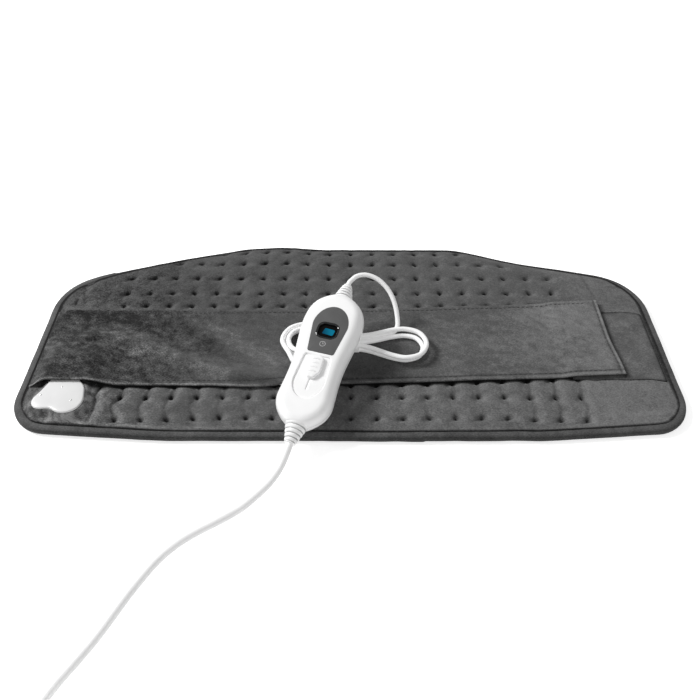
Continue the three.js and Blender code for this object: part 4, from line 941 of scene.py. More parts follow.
@dataclass
class Studio:
    """Camera, floor and soft light."""

    camera_place: Triple = (0.0, -0.49095, 0.49743)
    camera_pitch: float = 43.497
    lens: float = 36.257
    floor_half: float = 6.0
    floor_drop: float = 0.0004
    ambient: float = 0.35

    def camera(self) -> None:
        """Place the camera in front of the pad and above it."""
        data = bpy.data.cameras.new("camera")
        data.lens = self.lens
        data.clip_end = 50.0
        camera = bpy.data.objects.new("camera", data)
        camera.location = self.camera_place
        camera.rotation_euler = (math.radians(self.camera_pitch), 0.0, 0.0)
        bpy.context.scene.collection.objects.link(camera)
        bpy.context.scene.camera = camera

    def floor(self, finishes: Finishes) -> None:
        """Lay the pale floor.

        Args:
            finishes: Materials of the scene.
        """
        half = self.floor_half
        mesh = bpy.data.meshes.new("studio_floor")
        corners = [(-half, -half, 0), (half, -half, 0), (half, half, 0), (-half, half, 0)]
        mesh.from_pydata(corners, [], [(0, 1, 2, 3)])
        mesh.materials.append(finishes.floor)
        floor = bpy.data.objects.new("studio_floor", mesh)
        floor.location.z = -self.floor_drop
        bpy.context.scene.collection.objects.link(floor)

    def softbox(self, name: str, place: Triple, target: Triple, size: float, power: float) -> None:
        """Hang one square softbox.

        Args:
            name: Name of the light.
            place: Where it hangs, in metres.
            target: Point that it faces.
            size: Side of the square.
            power: Power in watts.
        """
        data = bpy.data.lights.new(name, "AREA")
        data.size = size
        data.energy = power
        light = bpy.data.objects.new(name, data)
        light.location = place
        aim = np.array(target) - np.array(place)
        tilt = math.atan2(math.hypot(aim[0], aim[1]), -aim[2])
        light.rotation_euler = (tilt, 0.0, math.atan2(aim[1], aim[0]) - math.pi / 2)
        bpy.context.scene.collection.objects.link(light)

    def light(self) -> None:
        """Set the ambient light and the softboxes."""
        world = bpy.data.worlds.new("studio")
        world.use_nodes = True
        backdrop = next(node for node in world.node_tree.nodes if node.type == "BACKGROUND")
        backdrop.inputs["Color"].default_value = (1.0, 1.0, 1.0, 1.0)
        backdrop.inputs["Strength"].default_value = self.ambient
        bpy.context.scene.world = world
        bpy.context.scene.view_settings.view_transform = "Standard"
        self.softbox("key", (-1.5, 0.55, 1.35), (0.0, -0.05, 0.0), 0.55, 44.0)
        self.softbox("fill", (0.7, -1.3, 1.3), (0.1, -0.1, 0.0), 1.4, 5.0)


# Controller frame


@dataclass(frozen=True)
class ControllerPose:
    """How the hand controller lies on the belt."""

    place: Triple = (-25.7, -60.7, 33.735)
    yaw: float = -17.0
    tilt: float = 12.0

    def matrix(self) -> Array:
        """Turn the controller's own axes into the pad's.

        Returns:
            A 4 by 4 matrix in millimetres.
        """
        yaw, tilt = math.radians(self.yaw), math.radians(self.tilt)
        turn = np.array([[math.cos(yaw), -math.sin(yaw), 0], [math.sin(yaw), math.cos(yaw), 0], [0, 0, 1]])
        lean = np.array([[1, 0, 0], [0, math.cos(tilt), -math.sin(tilt)], [0, math.sin(tilt), math.cos(tilt)]])
        matrix = np.eye(4)
        matrix[:3, :3] = turn @ lean
        matrix[:3, 3] = self.place
        return matrix

    def point(self, x: float, y: float, z: float) -> Array:
        """Place one point of the controller in the pad's axes."""
        matrix = self.matrix()
        return matrix[:3, :3] @ np.array([x, y, z]) + matrix[:3, 3]


# Cords


@dataclass
class PadCord:
    """Thin cord from the controller through a tied hank to the pad's terminal."""

    pose: ControllerPose
    diameter: float = 4.6
    relief_tip: float = 82.8
    hank_centre: Pair = (5.5, -29.6)
    hank_yaw: float = -3.0
    half_run: float = 47.6
    fold: float = 14.2
    waist: float = 1.8
    step: float = 5.9
    low: float = 17.6
    layer: float = 5.2
    first_turn: float = 0.09
    last_turn: float = 2.465
    under_belt: float = 13.6
    gland_end: Pair = (-259.0, -47.7)

    def hank_point(self, turns: float) -> Array:
        """Point of the hank after a number of turns.

        Args:
            turns: Turns from the hank's start.

        Returns:
            The point in millimetres.
        """
        turn_length = 4 * self.half_run + 2 * math.pi * self.fold
        run_share = 2 * self.half_run / turn_length
        fold = self.fold + self.step * abs(turns - 1 - run_share / 2)
        share = turns % 1.0
        half = 1.0 if share < 0.5 else -1.0
        along = share % 0.5
        if along < run_share:
            reach = 1 - 2 * along / run_share
            x = self.half_run * reach
            y = fold - (self.fold - self.waist) * 0.5 * (1 + math.cos(math.pi * reach))
        else:
            angle = math.pi * (along - run_share) / (0.5 - run_share)
            x = -self.half_run - fold * math.sin(angle)
            y = fold * math.cos(angle)
        z = self.low + self.layer * float(smoothstep(np.array((turns - 1) / run_share)))
        yaw = math.radians(self.hank_yaw)
        return np.array([
            self.hank_centre[0] + half * (x * math.cos(yaw) - y * math.sin(yaw)),
            self.hank_centre[1] + half * (x * math.sin(yaw) + y * math.cos(yaw)),
            z,
        ])

    def tail_line(self) -> Array:
        """Line of the cord below the belt, seen from above.

        Returns:
            Points from the waist of the hank to the terminal.
        """
        return np.array([(-56, -75.8), (-65, -71.8), (-77, -70.2), (-92, -68.2), (-110, -64.4), (-133, -56.6),
                         (-158, -47), (-180, -37), (-201, -27), (-222, -18.5), (-240, -16.5), (-252.5, -23),
                         (-258.4, -34)])

    def route(self) -> Array:
        """Whole route of the cord.

        Returns:
            Points in millimetres from the controller to the terminal.
        """
        start = [self.pose.point(0, self.relief_tip + out, 0) for out in (-3.0, 0.3, 2.0, 4.0)]
        lead = [(2.9, 24.6, 53.2), (5.8, 27, 54), (10, 28.8, 54.4), (15.6, 29.4, 54.1), (22, 28.4, 52.7),
                (27.8, 26.2, 50.4), (33, 22.9, 47.2), (37.5, 18.8, 43.2), (41.1, 14, 38.4), (43.7, 8.6, 33),
                (45.3, 2.4, 27.4), (46, -4.1, 21.9), (45.4, -7.3, 19.9), (43.9, -10.1, 18.6), (41.6, -12.3, 17.8)]
        count = math.ceil((self.last_turn - self.first_turn) * 24) + 1
        turns = np.linspace(self.first_turn, self.last_turn, count)
        hank = [self.hank_point(turn) for turn in turns]
        enter, leave = hank[0] - hank[1], hank[-1] - hank[-2]
        enter, leave = enter / np.linalg.norm(enter), leave / np.linalg.norm(leave)
        before = [hank[0] + enter * gap for gap in (10.6, 7.6, 4.6)]
        after = [hank[-1] + leave * gap for gap in (4.6, 7.6, 10.6)]
        tail = [(-49.6, -56.4, 22), (-43.6, -58.8, 21.4), (-35.5, -59.4, 19.3), (-27, -60.6, 17.6),
                (-20.4, -65.4, 16.6), (-17.6, -73, 16.5), (-19.6, -80.6, 14.6), (-26.6, -86, 13.6),
                (-36, -86.6, 13.6), (-46.6, -82.2, 13.6)]
        under = [(x, y, self.under_belt) for x, y in self.tail_line()]
        end = [(self.gland_end[0], self.gland_end[1] + gap, self.under_belt) for gap in (6.0, 3.0, -3.0)]
        stops = np.array([np.asarray(stop, dtype=float) for stop in
                          [*start, *lead, *before, *hank, *after, *tail, *under, *end]])
        return even_steps(smooth_route(stops, 6), 2.0)


@dataclass
class MainsCord:
    """Mains cord from the controller over the table to a tied coil and the plug."""

    pose: ControllerPose
    diameter: float = 7.0
    relief_tip: float = 86.8
    coil_centre: Pair = (-162.0, -401.0)
    coil_radius: float = 52.0
    coil_step: float = 7.8
    coil_turns: float = 5.25
    low: float = 4.6
    layer: float = 7.6
    plug_entry: float = -108.3

    def coil_point(self, turns: float) -> Array:
        """Point of the coil after a number of turns.

        Args:
            turns: Turns from the coil's start.

        Returns:
            The point in millimetres.
        """
        middle = self.coil_turns / 2
        radius = self.coil_radius - self.coil_step * (middle - abs(turns - middle))
        angle = math.pi + 2 * math.pi * turns
        z = self.low + self.layer * float(smoothstep(np.array((turns - middle + 0.25) / 0.5)))
        return np.array([
            self.coil_centre[0] + radius * math.cos(angle),
            self.coil_centre[1] + radius * math.sin(angle),
            z,
        ])

    def route(self) -> Array:
        """Whole route of the cord.

        Returns:
            Points in millimetres from the controller to the plug.
        """
        start = [self.pose.point(0, -(self.relief_tip + out), 0) for out in (-3.0, 0.3, 4.0, 9.0)]
        table = 3.5
        lead = [(-57.6, -161, 9.8), (-65.5, -173.5, 6.4), (-75.2, -183.8, 4.5), (-86.9, -195.2, 3.6),
                (-103, -206.5, table), (-118.8, -216.1, table), (-132.5, -226.4, table), (-144.2, -238.6, table),
                (-153.6, -253, table), (-162.8, -269.5, table), (-169.8, -283.8, table), (-177.8, -299.5, table),
                (-187.1, -314.8, table), (-197.5, -331.5, table), (-206.5, -350, table), (-212, -369, 3.9)]
        turns = np.linspace(0.0, self.coil_turns, int(self.coil_turns * 24) + 1)
        coil = [self.coil_point(turn) for turn in turns]
        enter, leave = coil[0] - coil[1], coil[-1] - coil[-2]
        enter, leave = enter / np.linalg.norm(enter), leave / np.linalg.norm(leave)
        before = [coil[0] + enter * gap for gap in (12.0, 7.0)]
        after = [coil[-1] + leave * 7.0]
        axis = coil[-1][1]
        drop = [(-140.0, axis, 13.6), (-128.0, axis, 9.8), (-118.0, axis, 7.4), (self.plug_entry - 3, axis, 6.85),
                (self.plug_entry + 3, axis, 6.85)]
        stops = np.array([np.asarray(stop, dtype=float) for stop in
                          [*start, *lead, *before, *coil, *after, *drop]])
        return even_steps(smooth_route(stops, 6), 3.0)


def cord_curve(name: str, route: Array, diameter: float, finish: Material) -> Piece:
    """Draw a cord as one open round spline.

    Args:
        name: Name of the piece.
        route: Points in millimetres.
        diameter: Thickness in millimetres.
        finish: Material of the sheath.

    Returns:
        The new curve object.
    """
    data = bpy.data.curves.new(name, "CURVE")
    data.dimensions = "3D"
    data.bevel_depth = diameter / 2 * MM
    data.bevel_resolution = 5
    data.use_fill_caps = True
    spline = data.splines.new("POLY")
    spline.points.add(len(route) - 1)
    spline.points.foreach_set("co", np.column_stack([route * MM, np.ones(len(route))]).ravel())
    data.materials.append(finish)
    cord = bpy.data.objects.new(name, data)
    bpy.context.scene.collection.objects.link(cord)
    return cord


# Soft pad


@dataclass(frozen=True)
class PadOutline:
    """Plan of the pad as it lies on the table."""

    half_width: float = 302.0
    half_depth: float = 128.0
    front_bend: float = 130.0
    front_radius: float = 600.0
    side_front: float = -116.0
    side_front_radius: float = 36.0
    side_back: float = 73.0
    side_back_radius: float = 55.0
    back_bend: float = 113.5
    back_radius: float = 80.0
    back_lies: tuple[Triple, ...] = ((-75.0, 34.0, 4.0), (-190.0, 62.0, 3.4), (182.0, 42.0, -4.2))
    front_creep: float = 1.2
    front_bulge: Triple = (35.0, 45.0, 0.7)
    front_lies: tuple[Triple, ...] = ((-120.0, -170.0, 2.0), (135.0, 170.0, 2.5))

    def loop(self, inset: float, spacing: float) -> Array:
        """Outline at a distance inside the pad's edge.

        Args:
            inset: Distance from the edge.
            spacing: Distance between points.

        Returns:
            Points counter-clockwise, before the pad settles on the table.
        """
        wide, deep = self.half_width, self.half_depth
        right = [(self.front_bend, -deep, self.front_radius), (wide, self.side_front, self.side_front_radius),
                 (wide, self.side_back, self.side_back_radius), (self.back_bend, deep, self.back_radius)]
        left = [(-x, y, radius) for x, y, radius in right[::-1]]
        return even_steps(rounded_loop([left[-1], *right, *left[:-1]], inset), spacing, closed=True)

    def settle(self, x: Array, y: Array) -> Array:
        """How far the soft front and back edges have crept, in millimetres towards the back.

        Args:
            x: First coordinates.
            y: Second coordinates.

        Returns:
            Shifts of y.
        """
        back = sum(reach * bump(x - middle, width) for middle, width, reach in self.back_lies)
        middle, width, reach = self.front_bulge
        front = self.front_creep + reach * bump(x - middle, width)
        front = front + sum(reach * ease(x, start, end) for start, end, reach in self.front_lies)
        return back * ease(y, 60.0, 115.0) - front * ease(y, -60.0, -120.0)

    def rolled(self, x: Array, y: Array, front: float = 0.0, side: float = 0.0) -> Array:
        """How far the padding rolls over the binding.

        Args:
            x: First coordinates.
            y: Second coordinates.
            front: Share of the back's roll that the front has.
            side: Share of it that the sides have.

        Returns:
            Shares of the full roll.
        """
        fading = 0.25 * ease(x, 170.0, 230.0) + 0.5 * ease(x, 262.0, 292.0)
        back = ease(y, 52.0, 78.0) * (1 - fading) * ease(x, -285.0, -225.0)
        return np.maximum(back + front * ease(y, -98.0, -112.0), side * ease(np.abs(x), 264.0, 284.0))

    def depth(self, x: Array, y: Array, inset: float) -> Array:
        """Distance inside the outline at an inset."""
        return depth_in_loop(x, y, self.loop(inset, 9.0))


@dataclass(frozen=True)
class BeltLine:
    """Line of the closing belt across the pad, seen from above."""

    left: float = -292.0
    right: float = 251.0
    middle: float = -26.3
    bow: float = 7.3e-5
    bow_centre: float = -170.0
    width: float = 98.0

    def drawn(self, x: Array, w: Array) -> Array:
        """How far the free end's front corner is drawn out, from 0 to 1."""
        return ease(w, 0.0, -self.width / 2) * ease(x, 120.0, 230.0)

    def centre(self, x: Array) -> Array:
        """Middle line of the belt."""
        return self.middle + self.bow * (x - self.bow_centre) ** 2

    def front(self, x: Array) -> Array:
        """Front edge of the belt."""
        return self.centre(x) - self.width / 2

    def shadow(self, x: Array, y: Array) -> Array:
        """How deep points lie in the shadowed gaps under the belt's long edges.

        Args:
            x: First coordinates.
            y: Second coordinates.

        Returns:
            Shares from 0 to 1.
        """
        ahead = ease(y - self.front(x), -1.4, 0.8) * ease(x, self.left + 6.0, self.left + 14.0)
        ahead = ahead * ease(x, self.right + 1.0, self.right - 1.0)
        from_back = y - self.centre(x) - self.width / 2
        behind = bump(from_back, 2.0) * ease(x, self.right, self.right - 3.0)
        return np.where(from_back > -1, 0.5 * behind, ahead)


@dataclass(frozen=True)
class Tuft:
    """One stitched tuft: a pit in a pleated dimple, with painted shade in the pit and in a hollow beside it, and
    painted highlights at a glint and on the cheek of the puff.

    The pit, hollow, glint and cheek hold a place from the tuft and a radius.
    """

    reach: float = 30.0
    pit: Triple = (0.9, 0.9, 2.2)
    pit_depth: float = 3.2
    pit_shade: float = 0.54
    dimple: float = 7.0
    dimple_depth: float = 1.6
    hollow: Triple = (-3.4, -0.8, 2.6)
    hollow_depth: float = 0.6
    hollow_shade: float = 0.15
    glint: Triple = (-0.4, -2.0, 1.2)
    glint_light: float = 0.34
    cheek: Triple = (6.0, -2.0, 4.2)
    cheek_highlight: float = 0.08

    def press(self, x: Array, y: Array, index: int, depth: float) -> tuple[Array, Array]:
        """Press the tuft into the padding.

        Args:
            x: First coordinates from the tuft.
            y: Second coordinates from the tuft.
            index: Number of the tuft, which varies its form.
            depth: Share of the full depth.

        Returns:
            Drops in millimetres, and shades about 0.
        """
        turn = np.arctan2(y, x)
        pleats = 1 + 0.2 * np.sin(4 * turn + index * 1.7) + 0.14 * np.sin(3 * turn + index * 2.9)
        ragged = 0.4 * np.sin(2 * turn + index * 1.3)
        pit = bump(np.hypot(x - self.pit[0], y - self.pit[1]), self.pit[2] + ragged)
        hollow = bump(np.hypot(x - self.hollow[0], y - self.hollow[1] + math.sin(index * 2.1)), self.hollow[2])
        glint, cheek = (bump(np.hypot(x - spot[0], y - spot[1]), spot[2]) for spot in (self.glint, self.cheek))
        dimple = bump(np.hypot(x, y), self.dimple * pleats)
        drop = self.pit_depth * pit + self.dimple_depth * dimple + self.hollow_depth * hollow
        # Painted shade in the pit and the hollow; painted highlights at the glint and on the cheek.
        painted_shade = self.pit_shade * pit + self.hollow_shade * (1 + 0.6 * math.sin(index * 3.7)) * hollow
        return depth * drop, self.glint_light * glint + self.cheek_highlight * cheek - depth * painted_shade


@dataclass(frozen=True)
class Fold:
    """One fold of the plush: a sharp valley with a line of painted shade, and a puffed ridge on its right with a
    painted highlight.
    """

    reach: float = 16.0
    valley: float = 1.4
    valley_depth: float = 1.6
    line: float = 1.3
    line_shade: float = 0.4
    ridge_place: float = 6.0
    ridge_width: float = 4.2
    ridge_height: float = 0.9
    ridge_highlight: float = 0.17

    def press(self, x: Array, y: Array, path: Array) -> tuple[Array, Array]:
        """Press the fold into the padding.

        Args:
            x: First coordinates.
            y: Second coordinates.
            path: Line of the valley.

        Returns:
            Drops in millimetres, and shades about 0.
        """
        gap = distance_to_path(x, y, path)
        order = np.argsort(path[:, 1])
        side = x - np.interp(y, path[order, 1], path[order, 0])
        puff = bump(side - self.ridge_place, self.ridge_width) * ease(gap, self.reach, self.reach / 2)
        drop = self.valley_depth * bump(gap, self.valley) - self.ridge_height * puff
        return drop, self.ridge_highlight * puff - self.line_shade * bump(gap, self.line)


@dataclass
class QuiltedTop(Assembly):
    """Tufted plush top of the pad."""

    outline: PadOutline
    belt: BeltLine
    terminal: Array
    tuft: Tuft = Tuft()
    fold: Fold = Fold()
    columns: int = 500
    rows: int = 224
    seam_inset: float = 11.3
    grid_inset: float = 8.6
    pitch: float = 23.0
    first_row: float = -109.7
    hem_row: int = 2
    hem_gap: float = 0.4
    hem_tuft_depth: float = 0.45
    eased_row: int = 6
    row_ease: float = 4.0
    tuft_reach: float = 215.0
    tuft_margin: float = 11.0
    rolled_margin: float = 5.0
    back_row: float = 116.0
    back_row_reach: float = 130.0
    roll: float = 5.6
    roll_run: float = 20.0
    front_roll: float = 0.5
    side_roll: float = 0.26
    rolled_run: float = 6.0
    rolled_rise: float = 3.2
    edge_height: float = 5.4
    crown_height: float = 11.2
    crown_run: float = 19.0
    crown_power: float = 2.5
    floor: float = 5.0
    collar: float = 16.4
    collar_run: float = 3.8
    skirt_shade: float = -0.4
    loose_folds: tuple[tuple[tuple[Pair, ...], float], ...] = (
        (((-226.0, -76.0), (-228.5, -84.0), (-226.5, -92.0), (-228.0, -104.0), (-231.0, -117.0)), 0.9),
        (((-269.0, 36.0), (-272.0, 45.0), (-274.0, 54.0), (-276.0, 62.0)), 0.5),
        (((-278.0, 34.0), (-278.0, 42.0)), 0.8),
        (((243.8, 81.2), (247.0, 60.0), (250.8, 36.4)), 0.22),
    )
    tufts: Array = field(init=False)

    def __post_init__(self) -> None:
        """Set out the tufts on their square pitch."""
        across = np.arange(-10, 11) * self.pitch
        along = self.first_row + np.arange(0, 10) * self.pitch
        along[self.eased_row] += self.row_ease
        x, y = (grid.ravel() for grid in np.meshgrid(across, along))
        at_hem = np.abs(y - along[self.hem_row]) < 1
        y = np.where(at_hem, np.minimum(y, self.belt.front(x) - self.hem_gap), y)
        reach = np.where((x < 0) & (y > 0), self.tuft_reach + self.pitch, self.tuft_reach)
        margin = np.where((x < 0) & (y > 60), self.rolled_margin, self.tuft_margin)
        kept = (self.outline.depth(x, y, 0.0) > margin) & (np.abs(x) <= reach)
        rear = across[np.abs(across + 0.5 * self.pitch) <= self.back_row_reach]
        self.tufts = np.vstack([np.column_stack([x[kept], y[kept]]),
                                np.column_stack([rear, np.full(len(rear), self.back_row)])])

    def rolled(self, x: Array, y: Array) -> Array:
        """How far the padding rolls over the binding, as a share of the back's roll."""
        return self.outline.rolled(x, y, self.front_roll, self.side_roll)

    def crown(self, x: Array, y: Array) -> Array:
        """Height of the padding without its tufts.

        Args:
            x: First coordinates.
            y: Second coordinates.

        Returns:
            Heights in millimetres.
        """
        rolled = self.rolled(x, y)
        depth = self.outline.depth(x, y, self.seam_inset) + self.rolled_run * rolled
        inside = np.clip(depth / self.crown_run, 0.0, 1.0)
        edge = self.edge_height + self.rolled_rise * np.minimum(4 * rolled, 1.0)
        return edge + (self.crown_height - edge) * (1 - (1 - inside) ** self.crown_power)

    def folds(self) -> list[tuple[Array, float]]:
        """Folds that run from the belt through the two front rows, and a few loose ones.

        Returns:
            Paths of the folds and how deep each one is.
        """
        front, second = self.first_row, self.first_row + self.pitch
        paths = []
        for column in range(-9, 10):
            x = column * self.pitch
            sway = 0.96 * math.sin(column * 2.3)
            lean = -3.6 if column < 6 else 2.6
            strength = max(0.08, 0.62 - 0.1 * (column + 9)) if column < 7 else 0.3
            path = ((x + 2.2 + sway, self.belt.front(x)), (x + 0.8, second + 4), (x, second),
                    (x + lean + sway, second - 9), (x + lean * 0.4, front + 6), (x, front))
            paths.append((path, strength))
        return [(smooth_route(np.array(path), 5), strength) for path, strength in [*paths, *self.loose_folds]]

    def pressed(self, x: Array, y: Array) -> tuple[Array, Array]:
        """Press the tufts and folds into the padding, with their painted shade and highlights.

        Args:
            x: First coordinates.
            y: Second coordinates.

        Returns:
            Drops in millimetres, and shades about 0.
        """
        drop, shade = np.zeros_like(x), np.zeros_like(x)
        for index, (tuft_x, tuft_y) in enumerate(self.tufts):
            near = (np.abs(x - tuft_x) < self.tuft.reach) & (np.abs(y - tuft_y) < self.tuft.reach)
            at_hem = abs(tuft_y - self.belt.front(tuft_x)) < 1
            depth = self.hem_tuft_depth if at_hem and tuft_x < 0 else 1.0
            sunk, painted_light_and_shade = self.tuft.press(x[near] - tuft_x, y[near] - tuft_y, index, depth)
            drop[near] += sunk
            shade[near] += painted_light_and_shade
        for path, strength in self.folds():
            low, high = path.min(axis=0) - self.fold.reach, path.max(axis=0) + self.fold.reach
            near = (x > low[0]) & (x < high[0]) & (y > low[1]) & (y < high[1])
            sunk, painted_light_and_shade = self.fold.press(x[near], y[near], path)
            drop[near] += strength * sunk
            shade[near] += strength * painted_light_and_shade
        return drop, shade

    def from_terminal(self, x: Array, y: Array) -> Array:
        """Distance from the terminal's outline, and a long way beyond its corner of the pad.

        Args:
            x: First coordinates.
            y: Second coordinates.

        Returns:
            Distances in millimetres.
        """
        around = np.full_like(x, 99.0)
        near = (x < -215) & (y < -50)
        lying = y + self.outline.settle(x, y)
        around[near] = distance_to_path(x[near], lying[near], np.vstack([self.terminal, self.terminal[:1]]))
        return around

    def rim_shade(self, x: Array, y: Array) -> Array:
        """Painted shade in the crease where the plush meets its binding, and painted highlights on the loose
        fibres along it and on a line inside the seam.

        Args:
            x: First coordinates.
            y: Second coordinates.

        Returns:
            Shades about 0.
        """
        seam = self.outline.depth(x, y, self.seam_inset)
        rolled = self.rolled(x, y)
        flat = np.maximum(1 - 4 * rolled, 0.0)
        rim = seam + self.roll * rolled + self.seam_inset - self.grid_inset
        band = 2.2 + 1.5 * ease(y, -100.0, -70.0)
        # Painted shade along the crease at the binding; painted highlights on the loose fibres and on a line
        # inside the seam.
        painted_shade = 0.6 * (1 - flat) * ease(rim, band, band - 2.0) + 0.38 * flat * bump(seam + 0.5, 1.8)
        fuzz_highlight = bump(rim - 3.6, 1.5) * ease(y, -98.0, -112.0) * (0.7 + noise(x, y, 2.6, 10))
        light = fuzz_highlight * (0.05 + 0.22 * ease(x, -60.0, -180.0))
        light = light + 0.08 * flat * bump(seam - 5.0, 2.6) * (1 + noise(x, y, 3.0, 9))
        return light - painted_shade

    def pile_shade(self, x: Array, y: Array, shaggy: Array) -> Array:
        """Painted broad fall of light over the pad, combed patches of the pile's own tone, and the shaggy pile
        round the terminal, slightly lighter with painted light on its right side.

        Args:
            x: First coordinates.
            y: Second coordinates.
            shaggy: How shaggy the pile is, from 0 to 1.

        Returns:
            Shades about 0.
        """
        # Painted fall of light: lighter towards the right, darker towards the back, most at the back left.
        broad = 0.11 * ease(x, -120.0, 140.0) + 0.09 * ease(x, 170.0, 240.0) - 0.06
        broad = broad - ease(y, 10.0, 40.0) * (0.1 + 0.13 * ease(x, -100.0, -230.0))
        nap_and_light_streaks = 0.07 * noise(x * 0.8 + y * 0.6, y * 0.8 - x * 0.6, 13.0, 4)
        nap_and_light_streaks = nap_and_light_streaks + 0.06 * noise(x, y, 5.0, 6)
        # Round the terminal: the pile's own tousled tone, slightly lighter, with painted light on its right side
        # that lightens the terminal's own shadow.
        tousled_and_painted_light = 0.04 + 0.2 * ease(x, -262.0, -232.0) + 0.3 * noise(x, y, 3.4, 8)
        return broad + (0.3 + 0.7 * ease(x, 40.0, -180.0)) * nap_and_light_streaks + shaggy * tousled_and_painted_light

    def surface(self, x: Array, y: Array) -> tuple[Array, Array]:
        """Height of the quilted surface, and the tone of its pile with painted light and shade.

        Args:
            x: First coordinates.
            y: Second coordinates.

        Returns:
            Heights in millimetres, and shades about 0.
        """
        crown = self.crown(x, y)
        loose = np.clip((crown - self.edge_height) / (self.crown_height - self.edge_height), 0.0, 1.0)
        drop, shade = self.pressed(x, y)
        under = self.belt.shadow(x, y)
        around = self.from_terminal(x, y)
        shaggy = bump(around - 4.0, 8.0)
        # Painted shadow darkens the pile in the gaps under the belt's edges.
        shade = shade + self.pile_shade(x, y, shaggy) + self.rim_shade(x, y) - 0.55 * under
        drop = drop + 0.5 * under * ease(y, 20.0, 0.0)
        rumple = 0.35 * noise(x, y, 31.0, 3) + 0.2 * noise(x, y, 12.0, 5)
        pile = (0.1 + 0.3 * shaggy) * noise(x, y, 4.2, 7)
        height = crown - drop * (0.3 + 0.7 * loose) + (rumple + pile) * loose
        height += np.maximum(self.collar - height, 0.0) * bump(np.maximum(around - 1.0, 0.0), self.collar_run)
        return height, shade

    def grid(self) -> tuple[Array, Array]:
        """Lay the grid of the padded top inside the binding, spread where it rolls over.

        Returns:
            First and second coordinates in rows and columns.
        """
        loop = self.outline.loop(self.grid_inset, 2.0)
        right = loop[loop[:, 0] > 0]
        right = right[np.argsort(right[:, 1])]
        deep = self.outline.half_depth - self.grid_inset - 0.01
        along = np.linspace(-deep, deep, self.rows)
        widths = np.interp(along, right[:, 1], right[:, 0])
        x = widths[:, None] * np.linspace(-1.0, 1.0, self.columns)[None, :]
        y = np.repeat(along[:, None], self.columns, axis=1)
        spread = self.roll * ease(self.outline.depth(x, y, self.grid_inset), self.roll_run, 0.0)
        y = y + spread * np.sign(y) * self.outline.rolled(x, y, self.front_roll)
        x = x + spread * np.sign(x) * self.outline.rolled(x, 0.0 * y, 0.0, self.side_roll)
        return x, y

    def build(self) -> None:
        """Build the padded top."""
        x, y = self.grid()
        z, shade = self.surface(x, y)
        points = np.stack([x, y + self.outline.settle(x, y), z], axis=-1)
        count = self.rows * self.columns
        index = np.arange(count).reshape(self.rows, self.columns)
        rim = np.concatenate([index[0, :-1], index[:-1, -1], index[-1, :0:-1], index[:0:-1, 0]])
        points = points.reshape(-1, 3)
        border = points[rim]
        border[:, 2] = self.floor
        skirt = np.arange(len(rim)) + count
        faces = grid_faces(self.rows, self.columns)
        faces += np.stack([rim, skirt, np.roll(skirt, -1), np.roll(rim, -1)], axis=1).tolist()
        faces.append(skirt.tolist())
        ruffled = 0.9 * ease(x.ravel(), -140.0, -250.0)
        # The skirt down to the binding carries painted shade.
        quilt = self.maker.piece("quilted_plush", Form(np.vstack([points, border]), faces), self.finishes.quilt,
                                 Slot.PLUSH, replaces=("quilted_top",), sharp=75.0,
                                 shade=np.append(shade.ravel(), np.full(len(rim), self.skirt_shade)),
                                 rough=np.append(ruffled, np.zeros(len(rim))))


